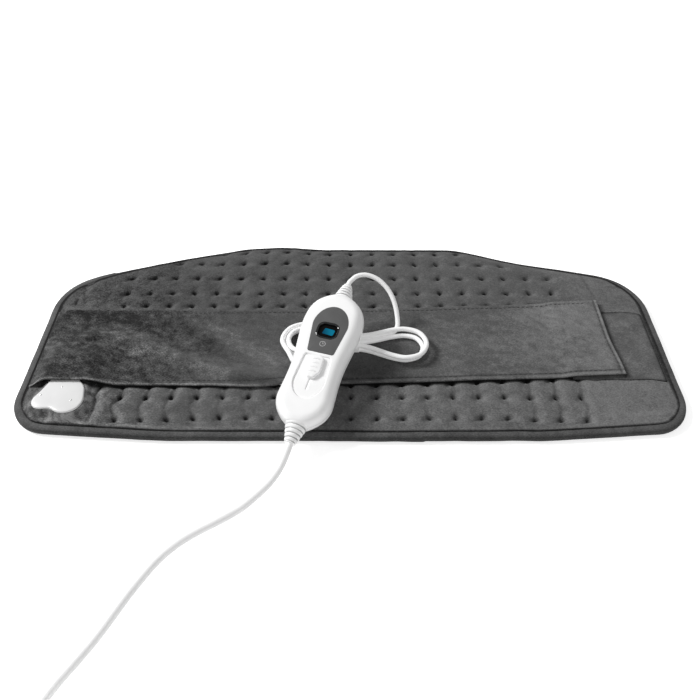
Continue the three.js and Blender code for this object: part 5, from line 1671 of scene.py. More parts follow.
@dataclass
class EdgeTape(Assembly):
    """Binding tape stitched round the pad's edge, with its section as distances inwards and heights."""

    outline: PadOutline
    width: float = 11.3
    height: float = 7.9
    stitch_inset: float = 8.0
    stitch_height: float = 7.42
    joins: tuple[Pair, ...] = ((65.0, -126.0), (-251.0, 92.0))
    lap: float = 22.0
    lap_draw: float = 0.9
    lap_rise: float = 0.5
    section: tuple[Pair, ...] = (
        (11.2, 0.4), (6.0, 0.05), (2.6, 0.05), (1.1, 0.4), (0.3, 1.3), (0.0, 2.7), (0.0, 4.6), (0.3, 6.0),
        (1.1, 7.0), (2.4, 7.6), (4.4, 7.9), (6.4, 7.85), (7.4, 7.6), (8.0, 7.3), (8.6, 7.55), (9.6, 7.5),
        (10.5, 7.1), (11.1, 6.4), (11.3, 5.7), (11.0, 5.0),
    )

    def build(self) -> None:
        """Build the tape and its stitches."""
        loop = self.outline.loop(0.0, 2.0)
        normals = inward_normals(loop)
        x, y = loop[:, 0], loop[:, 1]
        wave = 0.45 * noise(x, y, 70.0, 11) + 0.18 * noise(x, y, 13.0, 12)
        rise = 0.22 * noise(x, y, 46.0, 13) + 0.08 * noise(x, y, 8.0, 14)
        for join_x, join_y in self.joins:
            gap = np.hypot(x - join_x, y - join_y)
            lap = np.where(x < join_x, np.maximum(1 - gap / self.lap, 0.0), 0.0)
            wave = wave - self.lap_draw * lap
            rise = rise + self.lap_rise * lap
        section = np.array(self.section)
        inwards = section[None, :, 0]
        moved = inwards + wave[:, None] * (1 - inwards / self.width)
        rings = np.empty((len(loop), len(section), 3))
        rings[:, :, :2] = loop[:, None] + normals[:, None] * moved[:, :, None]
        rings[:, :, 1] += self.outline.settle(rings[:, :, 0], rings[:, :, 1])
        rings[:, :, 2] = np.maximum(section[None, :, 1] * (1 + rise[:, None] / self.height), 0.0)
        # Painted shade where the plush rolls over the tape, in the stitch groove, along the inner edge by the
        # plush and on the lower outer edge; a painted highlight along the top; the patches are the tape's own
        # uneven tone.
        patches = 0.07 * noise(x, y, 23.0, 15) + 0.06 * noise(x, y, 6.0, 16)
        shade = (patches - 0.4 * self.outline.rolled(x, y))[:, None] + 0.1 * bump(inwards - 4.0, 3.0)
        shade -= 0.3 * bump(inwards - self.stitch_inset, 0.6)
        shade -= 0.45 * ease(inwards, 9.6, 11.0) + 0.2 * ease(inwards, 1.5, 0.0)
        self.maker.piece("edge_tape", loft(rings, capped=False, loop=True), self.finishes.tape, Slot.PLUSH_DARK,
                         replaces=("edge_binding",), sharp=60.0, shade=shade)
        seam = loop + normals * self.stitch_inset
        lying = seam[:, 1] + self.outline.settle(seam[:, 0], seam[:, 1])
        line = np.column_stack([seam[:, 0], lying, self.stitch_height + rise * 0.9])
        self.maker.piece("tape_stitches", stitches(np.vstack([line, line[:1]]), 3.2, 1.4, 0.32),
                         self.finishes.thread, Slot.PLUSH_DARK)


@dataclass
class Underside(Assembly):
    """Plain plush backing of the pad."""

    outline: PadOutline
    inset: float = 2.2
    thickness: float = 1.8
    lift: float = 0.2
    shares: tuple[float, ...] = (1.0, 0.995, 0.97, 0.9, 0.75, 0.5, 0.25, 0.06)

    def build(self) -> None:
        """Build the backing as a thin padded sheet."""
        loop = self.outline.loop(self.inset, 4.0)
        half = self.thickness / 2
        upper = [(share, 1) for share in self.shares[::-1]]
        lower = [(share, -1) for share in self.shares]
        rings = []
        for share, side in upper + lower:
            ring = np.column_stack([loop * share, np.zeros(len(loop))])
            ripple = 0.12 * noise(ring[:, 0], ring[:, 1], 22.0, 21) if side > 0 else 0.0
            rounded = min(1.0, (1.0 - share) / 0.03) ** 0.5
            ring[:, 2] = self.lift + half + (side * half + ripple) * rounded
            ring[:, 1] += self.outline.settle(ring[:, 0], ring[:, 1])
            rings.append(ring)
        backing = self.maker.piece("plush_backing", loft(np.array(rings)), self.finishes.quilt, Slot.PLUSH,
                                   replaces=("bottom_cover",), sharp=80.0)


@dataclass
class Belt(Assembly):
    """Broad closing belt across the pad with its fastening patches.

    Each streak holds its two ends, its width and how far it lightens the pile, or darkens it below 0: painted
    highlights along ridges, the controller's painted shadow beside it, and darker streaks towards the left end.
    """

    quilt: QuiltedTop
    cord: PadCord
    line: BeltLine
    thickness: float = 2.6
    rest_gap: float = 0.3
    ridge_height: float = 5.1
    ridge_width: float = 12.0
    ridge_front: float = 4.8
    cord_cover: float = 3.0
    arch_top: float = 19.0
    patch_rise: float = 2.6
    patch_left: float = 204.4
    patch_right: float = 290.5
    patch_middle: float = -22.5
    patch_width: float = 91.0
    hem: float = 4.4
    hem_swell: float = 2.2
    corner_reach: Pair = (4.0, 1.0)
    end_draw: float = 2.6
    belt_ends: tuple[float, ...] = (0.0, 0.12, 0.4, 0.9, 1.6)
    patch_ends: tuple[float, ...] = (0.0, 0.15, 0.6, 1.4)
    nap_and_light_streaks: tuple[tuple[Pair, Pair, float, float], ...] = (
        ((-226.0, -18.0), (-112.0, -66.0), 8.0, 0.22), ((-150.0, 2.0), (-70.0, -48.0), 10.0, 0.17),
        ((-168.0, 4.0), (-128.0, -26.0), 9.0, -0.16), ((-275.0, 20.0), (-210.0, 10.0), 12.0, -0.16),
        ((-240.0, -36.0), (-186.0, -62.0), 9.0, -0.1), ((90.0, -36.0), (196.0, 10.0), 26.0, 0.06),
        ((12.0, -60.0), (44.0, -68.0), 13.0, -0.2), ((26.0, -44.0), (70.0, -50.0), 12.0, -0.06),
    )

    def underside(self, x: Array, y: Array) -> Array:
        """Height of the belt's lower face over what it covers.

        Args:
            x: First coordinates.
            y: Second coordinates.

        Returns:
            Heights in millimetres.
        """
        lying = self.quilt.crown(x, y) + self.rest_gap
        from_left = ease(x, self.line.left, self.line.left + 20.0)
        run = self.cord.tail_line()
        tail = distance_to_path(x, y, np.vstack([run, [[-259.0, -60.0]]]))
        before_cord = y < np.interp(x, run[::-1, 0], run[::-1, 1])
        wide = np.where(before_cord, self.ridge_front, self.ridge_width)
        ridge = self.ridge_height * bump(tail, wide) * from_left
        over = lying + ridge + self.patch_rise * ease(x, self.patch_left - 16.0, self.patch_left)
        arch = np.minimum(from_left, ease(x, -209.0, -240.0)) * ease(y, -2.0, -50.0)
        raised = lying + (self.arch_top - lying) * arch
        return 0.5 * (over + raised + np.sqrt((over - raised) ** 2 + 0.6))

    def nap_and_painted_light(self, x: Array, y: Array, side_gap: Array) -> Array:
        """Shade of the belt's pile: its own mottled tone, a painted fall of light, painted streaks of light and
        shade, painted highlights on its edges and painted shade in its hem grooves.

        Args:
            x: First coordinates.
            y: Second coordinates.
            side_gap: Distance from the nearer long edge.

        Returns:
            Shades about 0.
        """
        along, across = 0.906 * x - 0.423 * y, 0.423 * x + 0.906 * y
        mottle = 0.06 * noise(along * 0.4, across, 8.0, 51) + 0.04 * noise(x, y, 21.0, 52)
        mottle += 0.2 * noise(along * 0.5, across, 3.4, 53)
        mottle += 0.1 * noise(along * 0.6, across, 2.2, 54)
        shade = (0.3 + 0.7 * ease(x, -60.0, -240.0)) * mottle
        # Painted fall of light: darker towards the left end, lighter at the right end.
        shade += 0.29 * ease(x, -270.0, 50.0) + 0.17 * ease(x, 120.0, 240.0) - 0.31
        # Painted highlights along ridges, the controller's painted shadow and darker streaks at the left end.
        for start, end, width, lift in self.nap_and_light_streaks:
            shade += lift * bump(distance_to_path(x, y, np.array([start, end])), width)
        # Painted highlights along the rounded front edge and the end; painted shade in the hem grooves.
        end_gap = self.line.right - x
        front = y < self.line.centre(x)
        bright = np.where(front, 0.15 + 0.3 * ease(x, -60.0, -120.0), 0.0)
        shade += bright * bump(side_gap - 0.8, 1.0) + 0.14 * bump(end_gap - 1.6, 1.6)
        hem_groove_shade = np.where(front, 0.26, 0.04) * ease(x, -150.0, -30.0)
        shade -= hem_groove_shade * bump(side_gap - self.hem, 0.8) + 0.26 * bump(end_gap - self.hem, 0.8)
        return shade

    def build_belt(self) -> Piece:
        """Build the belt itself.

        Returns:
            The new piece.
        """
        line, half = self.line, self.line.width / 2
        x, w = np.meshgrid(edged_axis(line.left, line.right, self.belt_ends, 330),
                           edged_axis(-half, half, self.belt_ends, 76), indexing="ij")
        edge_wave = 0.5 * noise(x, w * 0.0, 38.0, 31) + 0.2 * noise(x, w * 0.0, 9.0, 32)
        over_cord = self.cord_cover * bump(x + 82.0, 30.0) * ease(w, -34.0, -48.0)
        y = line.centre(x) + w + edge_wave * (np.abs(w) / half) ** 6 - over_cord
        side_gap, end_gap = half - np.abs(w), line.right - x
        rim = np.minimum(side_gap, np.minimum(end_gap, x - line.left))
        rounded = np.sqrt(np.clip(1 - (1 - np.clip(rim / 1.6, 0, 1)) ** 2, 0.003, 1.0))
        body = self.thickness * (0.42 + 0.58 * ease(x, line.left, line.left + 14.0))
        hemmed = (0.25 + 0.75 * ease(x, -150.0, -30.0)) * np.where(w < 0, 1.0, 0.2)
        swell = 0.32 * hemmed * bump(side_gap - self.hem_swell, 1.8) + 0.5 * bump(end_gap - self.hem_swell, 1.8)
        seam = 0.75 * hemmed * bump(side_gap - self.hem, 0.9) + 0.8 * bump(end_gap - self.hem, 0.9)
        loose = ease(x, -70.0, -220.0)
        gather = 0.55 * noise(x, w, 26.0, 33) + 0.4 * noise(x * 0.6, w, 11.0, 34)
        top = body + swell - seam + gather * (0.25 + 0.75 * loose) + 0.12 * noise(x, w, 4.4, 35)
        middle = self.underside(x, y) + body / 2
        corner = line.drawn(x, w)
        out_x = x + self.corner_reach[0] * corner - self.end_draw * ease(x, 190.0, 250.0)
        out_y = y - self.corner_reach[1] * corner
        upper = np.stack([out_x, out_y, middle + (top - body / 2) * rounded], axis=-1)
        lower = np.stack([out_x, out_y, middle - body / 2 * rounded], axis=-1)
        nap_and_painted_light = self.nap_and_painted_light(x, y, side_gap)
        # The underside carries painted shade, 0.3 below the top's.
        belt = self.maker.piece("plush_belt", cloth_slab(upper, lower), self.finishes.belt, Slot.PLUSH,
                                replaces=("belt",), sharp=75.0,
                                shade=np.concatenate([nap_and_painted_light, nap_and_painted_light[:, ::-1] - 0.3], axis=1),
                                rough=np.repeat(1.6 * loose, 2, axis=1))
        self._stitch(x, w, upper)
        return belt

    def _stitch(self, x: Array, w: Array, upper: Array) -> None:
        """Sew the hems of the belt.

        Args:
            x: First coordinates of the belt's grid.
            w: Distances across the belt on that grid.
            upper: Upper points of the belt.
        """
        inset = self.line.width / 2 - self.hem
        columns = [int(np.argmin(np.abs(w[0] - side * inset))) for side in (-1, 1)]
        row = int(np.argmin(np.abs(x[:, 0] - (self.line.right - self.hem))))
        thread = Form(np.empty((0, 3)), [])
        for line in (upper[8:-10, columns[0]], upper[8:-10, columns[1]], upper[row, 8:-8]):
            thread = thread.joined(stitches(line + np.array([0.0, 0.0, 0.2]), 3.0, 1.6, 0.3))
        self.maker.piece("belt_stitches", thread, self.finishes.thread, Slot.PLUSH_DARK)

    def build_patch(self) -> Piece:
        """Build the loop patch that the belt fastens to.

        Returns:
            The new piece.
        """
        half = self.patch_width / 2
        x, w = np.meshgrid(edged_axis(self.patch_left, self.patch_right, self.patch_ends, 56),
                           edged_axis(-half, half, self.patch_ends, 60), indexing="ij")
        y = self.patch_middle + w + 0.7 * noise(x, w * 0.0, 17.0, 41)
        crown = self.quilt.crown(x, y)
        side_gap = half - np.abs(w)
        rim = np.minimum(side_gap, x - self.patch_left)
        rounded = np.sqrt(np.clip(1 - (1 - np.clip(rim / 5.0, 0, 1)) ** 2, 0.004, 1.0))
        puff = 1.0 + 0.5 * ease(rim, 0.0, 16.0) * ease(x, self.patch_right, self.patch_right - 12.0)
        ruffle = 0.3 * noise(x, w, 15.0, 42) + 0.12 * noise(x, w, 5.0, 43)
        upper = np.stack([x, y, crown - 0.5 + (0.6 + puff * 0.7 + ruffle) * rounded], axis=-1)
        lower = np.stack([x, y, crown - 0.62], axis=-1)
        # Painted shade: darker rims along the patch's edges and its right end, a wider band along its back edge
        # and the shadow of the belt's end; the noise is the patch's own tone.
        shade = 0.04 + 0.08 * noise(x, w, 9.0, 44) - 0.5 * bump(side_gap, 1.1)
        shade -= 0.4 * bump(half - 0.5 - w, 2.6) * (1 + 0.5 * noise(x, w, 6.0, 45))
        shade -= 0.5 * ease(x, self.patch_right - 3.0, self.patch_right - 1.0)
        belt_end = self.line.right - self.end_draw + self.corner_reach[0] * self.line.drawn(x, w)
        shade -= 0.4 * bump(x - belt_end - 1.0, 2.0) * (np.abs(y - self.line.centre(x)) < 51)
        return self.maker.piece("loop_patch", cloth_slab(upper, lower), self.finishes.quilt, Slot.PLUSH,
                                replaces=("landing_patch",), sharp=75.0,
                                shade=np.concatenate([shade, shade[:, ::-1]], axis=1))

    def build_hooks(self) -> None:
        """Build the hook strip under the belt's free end."""
        low, high = solid_box("belt_hook_strip")
        x, y = np.meshgrid(np.linspace(low[0], high[0], 60), np.linspace(low[1], high[1], 120), indexing="ij")
        hooks = 0.3 * np.maximum(np.sin(x * 3.1), 0) * np.maximum(np.sin(y * 3.1), 0)
        upper = np.stack([x, y, np.full_like(x, high[2])], axis=-1)
        lower = np.stack([x, y, low[2] + 0.35 - hooks], axis=-1)
        self.maker.piece("hook_strip", cloth_slab(upper, lower), self.finishes.hooks, Slot.PLUSH_DARK,
                         replaces=("belt_hook_strip",))


# Terminal


@dataclass
class Terminal(Assembly):
    """White cover over the cord's joint with the pad."""

    centre: Pair = (-259.0, -88.0)
    small_lobe: Triple = (-12.2, -8.6, 8.6)
    large_lobe: Triple = (9.4, -7.4, 14.3)
    rear_lobe: Triple = (1.6, 15.4, 11.8)
    shoulder: Triple = (7.0, 0.8, 16.0)
    bridge: Triple = (1.4, -8.6, 8.6)
    blend: float = 1.2
    bottom: float = 10.6
    top: float = 18.0
    dome: float = 0.3
    edge: float = 1.5
    screws: tuple[Pair, ...] = ((-14.5, -2.7), (1.9, 6.5), (13.7, -8.5))
    screw_radius: float = 0.85
    gland_axis: float = 13.6
    gland_radius: float = 2.95
    gland_taper: float = 0.45
    gland_ribs: int = 7
    gland_rib: float = 0.14

    def loop(self) -> Array:
        """Outline of the two front lobes, bridged and each drawn back into the rear one over a full shoulder.

        Returns:
            Points counter-clockwise in the pad's axes.
        """
        angles = np.linspace(0.0, 2 * math.pi, 120, endpoint=False)
        reach = np.linspace(2.0, 34.0, 640)[None, :]
        x, y = reach * np.cos(angles)[:, None], reach * np.sin(angles)[:, None]
        gaps = []
        for near, far in ((self.small_lobe, self.rear_lobe), (self.large_lobe, self.rear_lobe),
                          (self.small_lobe, self.bridge), (self.large_lobe, self.shoulder)):
            shares = np.linspace(0.0, 1.0, 24)
            circles = [np.array(near) * (1 - share) + np.array(far) * share for share in shares]
            reaches = [np.hypot(x - place[0], y - place[1]) - place[2] for place in circles]
            gaps.append(np.min(reaches, axis=0))
        joined = -self.blend * np.log(np.exp(-np.stack(gaps) / self.blend).sum(axis=0)) + 0.5
        outside = joined > 0
        first = np.argmax(outside, axis=1)
        radius = reach[0][first]
        radius = (np.roll(radius, 1) + 2 * radius + np.roll(radius, -1)) / 4
        return np.column_stack([radius * np.cos(angles), radius * np.sin(angles)]) + np.array(self.centre)

    def build(self) -> None:
        """Build the cover, its screws and the cord gland."""
        loop = even_steps(self.loop(), 0.9, closed=True)
        cap = plate(loop, self.bottom, self.top, self.edge, dome=self.dome)
        self.maker.piece("terminal_cap", cap, self.finishes.cover, Slot.WHITE_PLASTIC,
                         replaces=("terminal_cover",), sharp=70.0)
        turn = np.linspace(0.0, 2 * math.pi, 20, endpoint=False)
        ring = np.column_stack([np.cos(turn), np.sin(turn)]) * self.screw_radius + np.array(self.centre)
        for index, place in enumerate(self.screws, start=1):
            head = plate(ring + np.array(place), self.top - 1.0, self.top + 0.4, 0.2, dome=0.05)
            self.maker.piece(f"terminal_screw_head_{index}", head, self.finishes.steel, Slot.STEEL,
                             replaces=(f"terminal_screw_{index}",))
        low, high = solid_box("terminal_gland")
        along = np.linspace(low[1], high[1], 30)
        share = (along - low[1]) / (high[1] - low[1])
        ribs = self.gland_rib * np.cos(share * self.gland_ribs * 2 * math.pi)
        radius = self.gland_radius - self.gland_taper * share + ribs
        gland = turned(np.column_stack([along, radius]), 32)
        gland.points += np.array([(low[0] + high[0]) / 2, 0.0, self.gland_axis])
        self.maker.piece("terminal_sleeve", gland, self.finishes.sheath, Slot.WHITE_PLASTIC,
                         replaces=("terminal_gland",))


# Controller


@dataclass
class Case(Assembly):
    """Pear-shaped case of the hand controller."""

    pose: ControllerPose
    profile: tuple[Triple, ...] = (
        (-69.5, 10.6, 0.16), (-68.0, 13.0, 0.36), (-64.0, 17.6, 0.64), (-57.4, 22.5, 0.9), (-49.0, 25.0, 1.0),
        (-38.0, 24.6, 1.0), (-22.0, 23.7, 1.0), (-8.0, 24.0, 1.0), (10.0, 26.0, 1.0), (27.0, 28.0, 1.0),
        (38.0, 27.8, 1.0), (48.0, 26.0, 0.96), (55.0, 22.4, 0.78), (60.5, 17.0, 0.46), (64.2, 11.6, 0.14),
        (65.5, 9.0, 0.0),
    )
    squareness: float = 2.6
    end_radius: float = 9.0
    dome: float = 15.5
    depth: float = 11.0
    face: float = 12.8
    parting: float = 0.15
    neck: float = 6.0
    wall: float = 1.8
    recess_top: float = -5.2
    recess_top_half: float = 12.4
    recess_half: float = 14.0
    recess_widest: float = -31.0
    recess_bottom: float = -48.6
    recess_depth: float = 1.3
    slot_low: float = -40.1
    slot_high: float = -15.0
    slot_width: float = 0.75
    slot_depth: float = 0.9
    slot_end: float = 0.8
    window_depth: float = 3.6
    flat_share: float = 0.66

    def stations(self) -> tuple[Array, Array, Array]:
        """Stations along the case, close together over the face.

        Returns:
            Places along the case, half widths and fullness.
        """
        line = smooth_route(np.array(self.profile), 24)
        line = line[np.argsort(line[:, 0])]
        y = np.concatenate([
            np.linspace(self.profile[0][0], -50.0, 34, endpoint=False),
            np.linspace(-50.0, -3.0, 118, endpoint=False),
            np.linspace(-3.0, 10.0, 12, endpoint=False),
            np.linspace(10.0, 33.0, 48, endpoint=False),
            np.linspace(33.0, self.profile[-1][0], 46),
        ])
        return y, np.interp(y, line[:, 0], line[:, 1]), np.interp(y, line[:, 0], line[:, 2])

    def recess_loop(self) -> Array:
        """Outline of the slider's recess.

        Returns:
            Points counter-clockwise.
        """
        turn = np.linspace(math.pi, 2 * math.pi, 40)
        drop = self.recess_widest - self.recess_bottom
        bowl = np.column_stack([self.recess_half * np.cos(turn), self.recess_widest + drop * np.sin(turn)])
        corner, half, end = 1.6, self.recess_top_half, self.recess_top
        top = [(half, end - corner), (half - corner, end), (corner - half, end), (-half, end - corner)]
        return even_steps(np.vstack([bowl, top]), 1.2, closed=True)

    def face_shift(self, x: Array, y: Array, window: Array) -> Array:
        """How far the face is sunk at each point.

        Args:
            x: First coordinates on the face.
            y: Second coordinates on the face.
            window: Outline of the display's opening.

        Returns:
            Depths in millimetres.
        """
        depth = depth_in_loop(x, y, self.recess_loop())
        recess = smoothstep(depth / 0.7 + 0.5) * self.recess_depth + 0.35 * bump(depth - 0.1, 0.45)
        opening = smoothstep(depth_in_loop(x, y, window) / 0.6 - 1.6) * self.window_depth
        slot = ease(y, self.slot_low, self.slot_low + self.slot_end) * bump(x, self.slot_width)
        slot = slot * ease(y, self.slot_high, self.slot_high - self.slot_end)
        return recess + opening + self.slot_depth * slot

    def half_shell(self, half: ShellHalf, window: Array) -> Form:
        """Skin one half of the case.

        Args:
            half: Which moulding to make.
            window: Outline of the display's opening.

        Returns:
            An open skin with outward faces.
        """
        power = 2 / self.squareness
        y, wide, full = self.stations()
        if half is ShellHalf.UPPER:
            bend = math.acos(self.flat_share ** (1 / power))
            side = np.linspace(0.0, bend, 18)
            flat = np.linspace(self.flat_share, -self.flat_share, 97)[1:-1]
            across = np.concatenate([np.cos(side) ** power, flat, -(np.cos(side[::-1]) ** power)])
            tall = self.end_radius + (self.dome - self.end_radius) * full
        else:
            turn = np.linspace(0.0, math.pi, 60)
            across = np.sign(np.cos(turn)) * np.abs(np.cos(turn)) ** power
            tall = self.end_radius + (self.depth - self.end_radius) * full
        height = np.clip(1 - np.abs(across) ** self.squareness, 0.0, 1.0) ** (1 / self.squareness)
        x = wide[:, None] * across[None, :]
        z = tall[:, None] * height[None, :]
        place = np.repeat(y[:, None], len(across), axis=1)
        if half is ShellHalf.UPPER:
            z = 0.5 * (z + self.face - np.sqrt((z - self.face) ** 2 + 0.9)) + 0.02
            near = z > self.face - 2.5
            z = np.where(near, z - self.face_shift(x, place, window), z)
            z = np.maximum(z, self.parting)
        else:
            z = -np.maximum(z, self.parting)
        skin = np.stack([x, place, z], axis=-1)
        neck_scale = self.neck / self.end_radius
        first, last = skin[:1].copy(), skin[-1:].copy()
        for ring in (first, last):
            ring[:, :, 0] *= neck_scale
            ring[:, :, 2] *= neck_scale
            ring[:, :, 2] = half.value * np.maximum(np.abs(ring[:, :, 2]), self.parting)
        skin = np.concatenate([first, skin, last])
        faces = grid_faces(skin.shape[0], skin.shape[1])
        if half is ShellHalf.UPPER:
            faces = [face[::-1] for face in faces]
        return Form(skin.reshape(-1, 3), faces).placed(self.pose.matrix())

    def build(self, window: Array) -> None:
        """Build both halves with a wall thickness.

        Args:
            window: Outline of the display's opening.
        """
        for half, node in ((ShellHalf.UPPER, "upper_shell"), (ShellHalf.LOWER, "lower_shell")):
            skin = self.half_shell(half, window)
            piece = self.maker.piece(f"case_{half.name.lower()}", skin, self.finishes.case, Slot.WHITE_PLASTIC,
                                     replaces=(node,), sharp=50.0, closed=False)
            wall = piece.modifiers.new("wall", "SOLIDIFY")
            wall.thickness = self.wall * MM
            wall.offset = -1.0


@dataclass
class Face(Assembly):
    """Grey face panel with its sunken display, whose rim holds distances inwards and heights."""

    pose: ControllerPose
    height: float = 12.8
    panel_middle: float = 0.8
    panel_top: float = 48.2
    panel_bottom: float = -2.5
    arch_base: float = 27.0
    arch_half: float = 16.3
    foot_half: float = 12.3
    window_centre: Pair = (0.3, 21.5)
    window_size: Pair = (20.4, 17.6)
    window_round: float = 6.5
    rim: tuple[Pair, ...] = (
        (-0.25, -0.3), (-0.25, 0.1), (0.0, 0.38), (0.5, 0.52), (1.1, 0.46), (1.6, 0.2), (1.8, -0.2), (1.9, -3.0),
        (1.1, -3.0),
    )
    lit_corners: tuple[Triple, ...] = ((-4.6, 18.8, 0.6), (5.6, 18.0, 1.4), (6.6, 24.3, 1.4), (-3.0, 24.9, 0.6))
    icon: Pair = (0.1, 7.0)
    icon_radius: float = 2.7

    def panel_loop(self) -> Array:
        """Outline of the panel: an arch that narrows to its foot.

        Returns:
            Points counter-clockwise.
        """
        turn = np.linspace(0.0, math.pi, 48)
        rise = self.panel_top - self.arch_base
        arch = np.column_stack([self.arch_half * np.cos(turn), self.arch_base + rise * np.sin(turn)])
        corner = 1.2
        foot = [(-self.foot_half, self.panel_bottom + corner), (corner - self.foot_half, self.panel_bottom),
                (self.foot_half - corner, self.panel_bottom), (self.foot_half, self.panel_bottom + corner)]
        return np.vstack([arch, foot]) + np.array([self.panel_middle, 0.0])

    def window_loop(self, grow: float = 0.0) -> Array:
        """Outline of the display's opening.

        Args:
            grow: How far the outline moves outwards.

        Returns:
            Points counter-clockwise.
        """
        half_x, half_y = self.window_size[0] / 2, self.window_size[1] / 2
        x, y = self.window_centre
        corners = [(x - half_x, y - half_y, self.window_round), (x + half_x, y - half_y, self.window_round),
                   (x + half_x, y + half_y, self.window_round), (x - half_x, y + half_y, self.window_round)]
        return even_steps(rounded_loop(corners, -grow), 0.7, closed=True)

    def panel_form(self) -> Form:
        """Panel with its opening, from matched rays about the display.

        Returns:
            A closed form.
        """
        centre = np.array(self.window_centre)
        angles = np.linspace(-math.pi, math.pi, 200, endpoint=False)

        def along_rays(loop: Array) -> Array:
            """Find where a loop crosses the shared rays.

            Args:
                loop: Points of the loop, counter-clockwise.

            Returns:
                One point on each ray.
            """
            offset = even_steps(loop, 0.15, closed=True) - centre
            turn = np.arctan2(offset[:, 1], offset[:, 0])
            order = np.argsort(turn)
            reach = np.hypot(offset[:, 0], offset[:, 1])
            radius = np.interp(angles, turn[order], reach[order], period=2 * math.pi)
            return centre + radius[:, None] * np.column_stack([np.cos(angles), np.sin(angles)])

        outer, inner = along_rays(self.panel_loop()), along_rays(self.window_loop(-0.6))
        normals = inward_normals(outer)
        steps = [(outer, 0.0, -0.4), (outer, 0.0, 0.05), (outer, 0.12, 0.17), (outer, 0.35, 0.22)]
        rings = [np.column_stack([loop + normals * inset, np.full(len(loop), self.height + lift)])
                 for loop, inset, lift in steps]
        rings.append(np.column_stack([inner, np.full(len(inner), self.height + 0.22)]))
        rings.append(np.column_stack([inner, np.full(len(inner), self.height - 0.4)]))
        return loft(np.array(rings), capped=False, loop=True)

    def build(self) -> None:
        """Build the panel, the display and the timer mark."""
        matrix = self.pose.matrix()
        self.maker.piece("grey_face", self.panel_form().placed(matrix), self.finishes.panel, Slot.GREY_PANEL,
                         replaces=("face_panel",), sharp=30.0)
        rim = swept_ring(self.window_loop(), np.array(self.rim), self.height)
        self.maker.piece("display_rim", rim.placed(matrix), self.finishes.glass, Slot.BLACK_GLOSS,
                         replaces=("display_bezel",), sharp=50.0)
        pane = plate(self.window_loop(-1.2), self.height - 2.6, self.height - 1.7, 0.2)
        self.maker.piece("display_pane", pane.placed(matrix), self.finishes.pane, Slot.BLACK_GLOSS,
                         replaces=("display_lens",))
        lit = even_steps(rounded_loop(list(self.lit_corners)), 0.5, closed=True)
        glow = plate(lit, self.height - 1.8, self.height - 1.62, 0.05)
        self.maker.piece("display_glow", glow.placed(matrix), self.finishes.display, Slot.BLUE_DISPLAY)
        self._mark(matrix)

    def _mark(self, matrix: Array) -> None:
        """Print the small clock below the display.

        Args:
            matrix: Placing of the controller.
        """
        turn = np.linspace(0.0, 2 * math.pi, 48, endpoint=False)
        circle = np.column_stack([np.cos(turn), np.sin(turn)]) * self.icon_radius + np.array(self.icon)
        band = np.array([(0.0, 0.15), (0.0, 0.27), (0.42, 0.27), (0.42, 0.15)])
        mark = swept_ring(circle, band, self.height)
        for tip in ((0.0, 1.7), (1.25, 0.0)):
            line = np.array([self.icon, (self.icon[0] + tip[0], self.icon[1] + tip[1])])
            hand = np.column_stack([line, np.full(2, self.height + 0.22)])
            mark = mark.joined(tube(hand, np.full(2, 0.2), sides=8, flatten=0.3))
        self.maker.piece("timer_mark", mark.placed(matrix), self.finishes.print, Slot.WHITE_PLASTIC, sharp=30.0)


@dataclass
class SlideKnob(Assembly):
    """Ribbed knob of the slide switch."""

    pose: ControllerPose
    face: float = 12.8
    half_width: float = 7.2
    top: float = -5.9
    shoulder: float = -22.0
    foot: float = -28.6
    foot_half: float = 2.6
    rise: float = 2.5
    ribs: int = 4
    rib_pitch: float = 4.2
    first_rib: float = -9.6
    rib_half: float = 3.9
    rib_height: float = 0.75

    def build(self) -> None:
        """Build the knob with its ribs."""
        matrix = self.pose.matrix()
        corners = [(-self.foot_half, self.foot, 1.4), (self.foot_half, self.foot, 1.4),
                   (self.half_width, self.shoulder, 4.0), (self.half_width - 0.6, self.top, 4.2),
                   (0.6 - self.half_width, self.top, 4.2), (-self.half_width, self.shoulder, 4.0)]
        loop = even_steps(rounded_loop(corners), 0.6, closed=True)
        knob = plate(loop, self.face - 1.1, self.face + self.rise - 0.5, 1.1, dome=0.5)
        for index in range(self.ribs):
            y = self.first_rib - index * self.rib_pitch
            share = np.linspace(-1.0, 1.0, 13)
            bow = np.column_stack([share * self.rib_half, y - 0.7 * share**2,
                                   self.face + self.rise - 0.2 - 0.15 * share**2])
            knob = knob.joined(tube(bow, 0.95 * np.sqrt(1.02 - share**2), sides=10, flatten=self.rib_height))
        self.maker.piece("switch_slider", knob.placed(matrix), self.finishes.case, Slot.WHITE_PLASTIC,
                         body=Body.SLIDER, replaces=("slide_knob",), sharp=50.0)


@dataclass(frozen=True)
class Sleeve:
    """Ribbed, tapered sleeve of a cord; a fullness below 1 makes the taper rounder."""

    name: str
    node: str
    start: float
    base: float
    tip: float
    fullness: float = 1.0
    length: float = 18.2
    ribs: int = 5
    groove_depth: float = 1.3

    def groove(self, share: Array) -> Array:
        """Depth of the ring grooves along the sleeve, from 0 to 1."""
        wave = (0.5 - 0.5 * np.cos(2 * math.pi * self.ribs * (share - 0.06))) ** 3
        return wave * smoothstep(share * 14) * smoothstep((1 - share) * 14)

    def profile(self) -> Array:
        """Profile of the ribbed taper.

        Returns:
            Distances along the sleeve and radii.
        """
        share = np.linspace(0.0, 1.0, 110)
        radius = self.tip + (self.base - self.tip) * (1 - share) ** self.fullness
        return np.column_stack([share * self.length, radius - self.groove_depth * self.groove(share)])


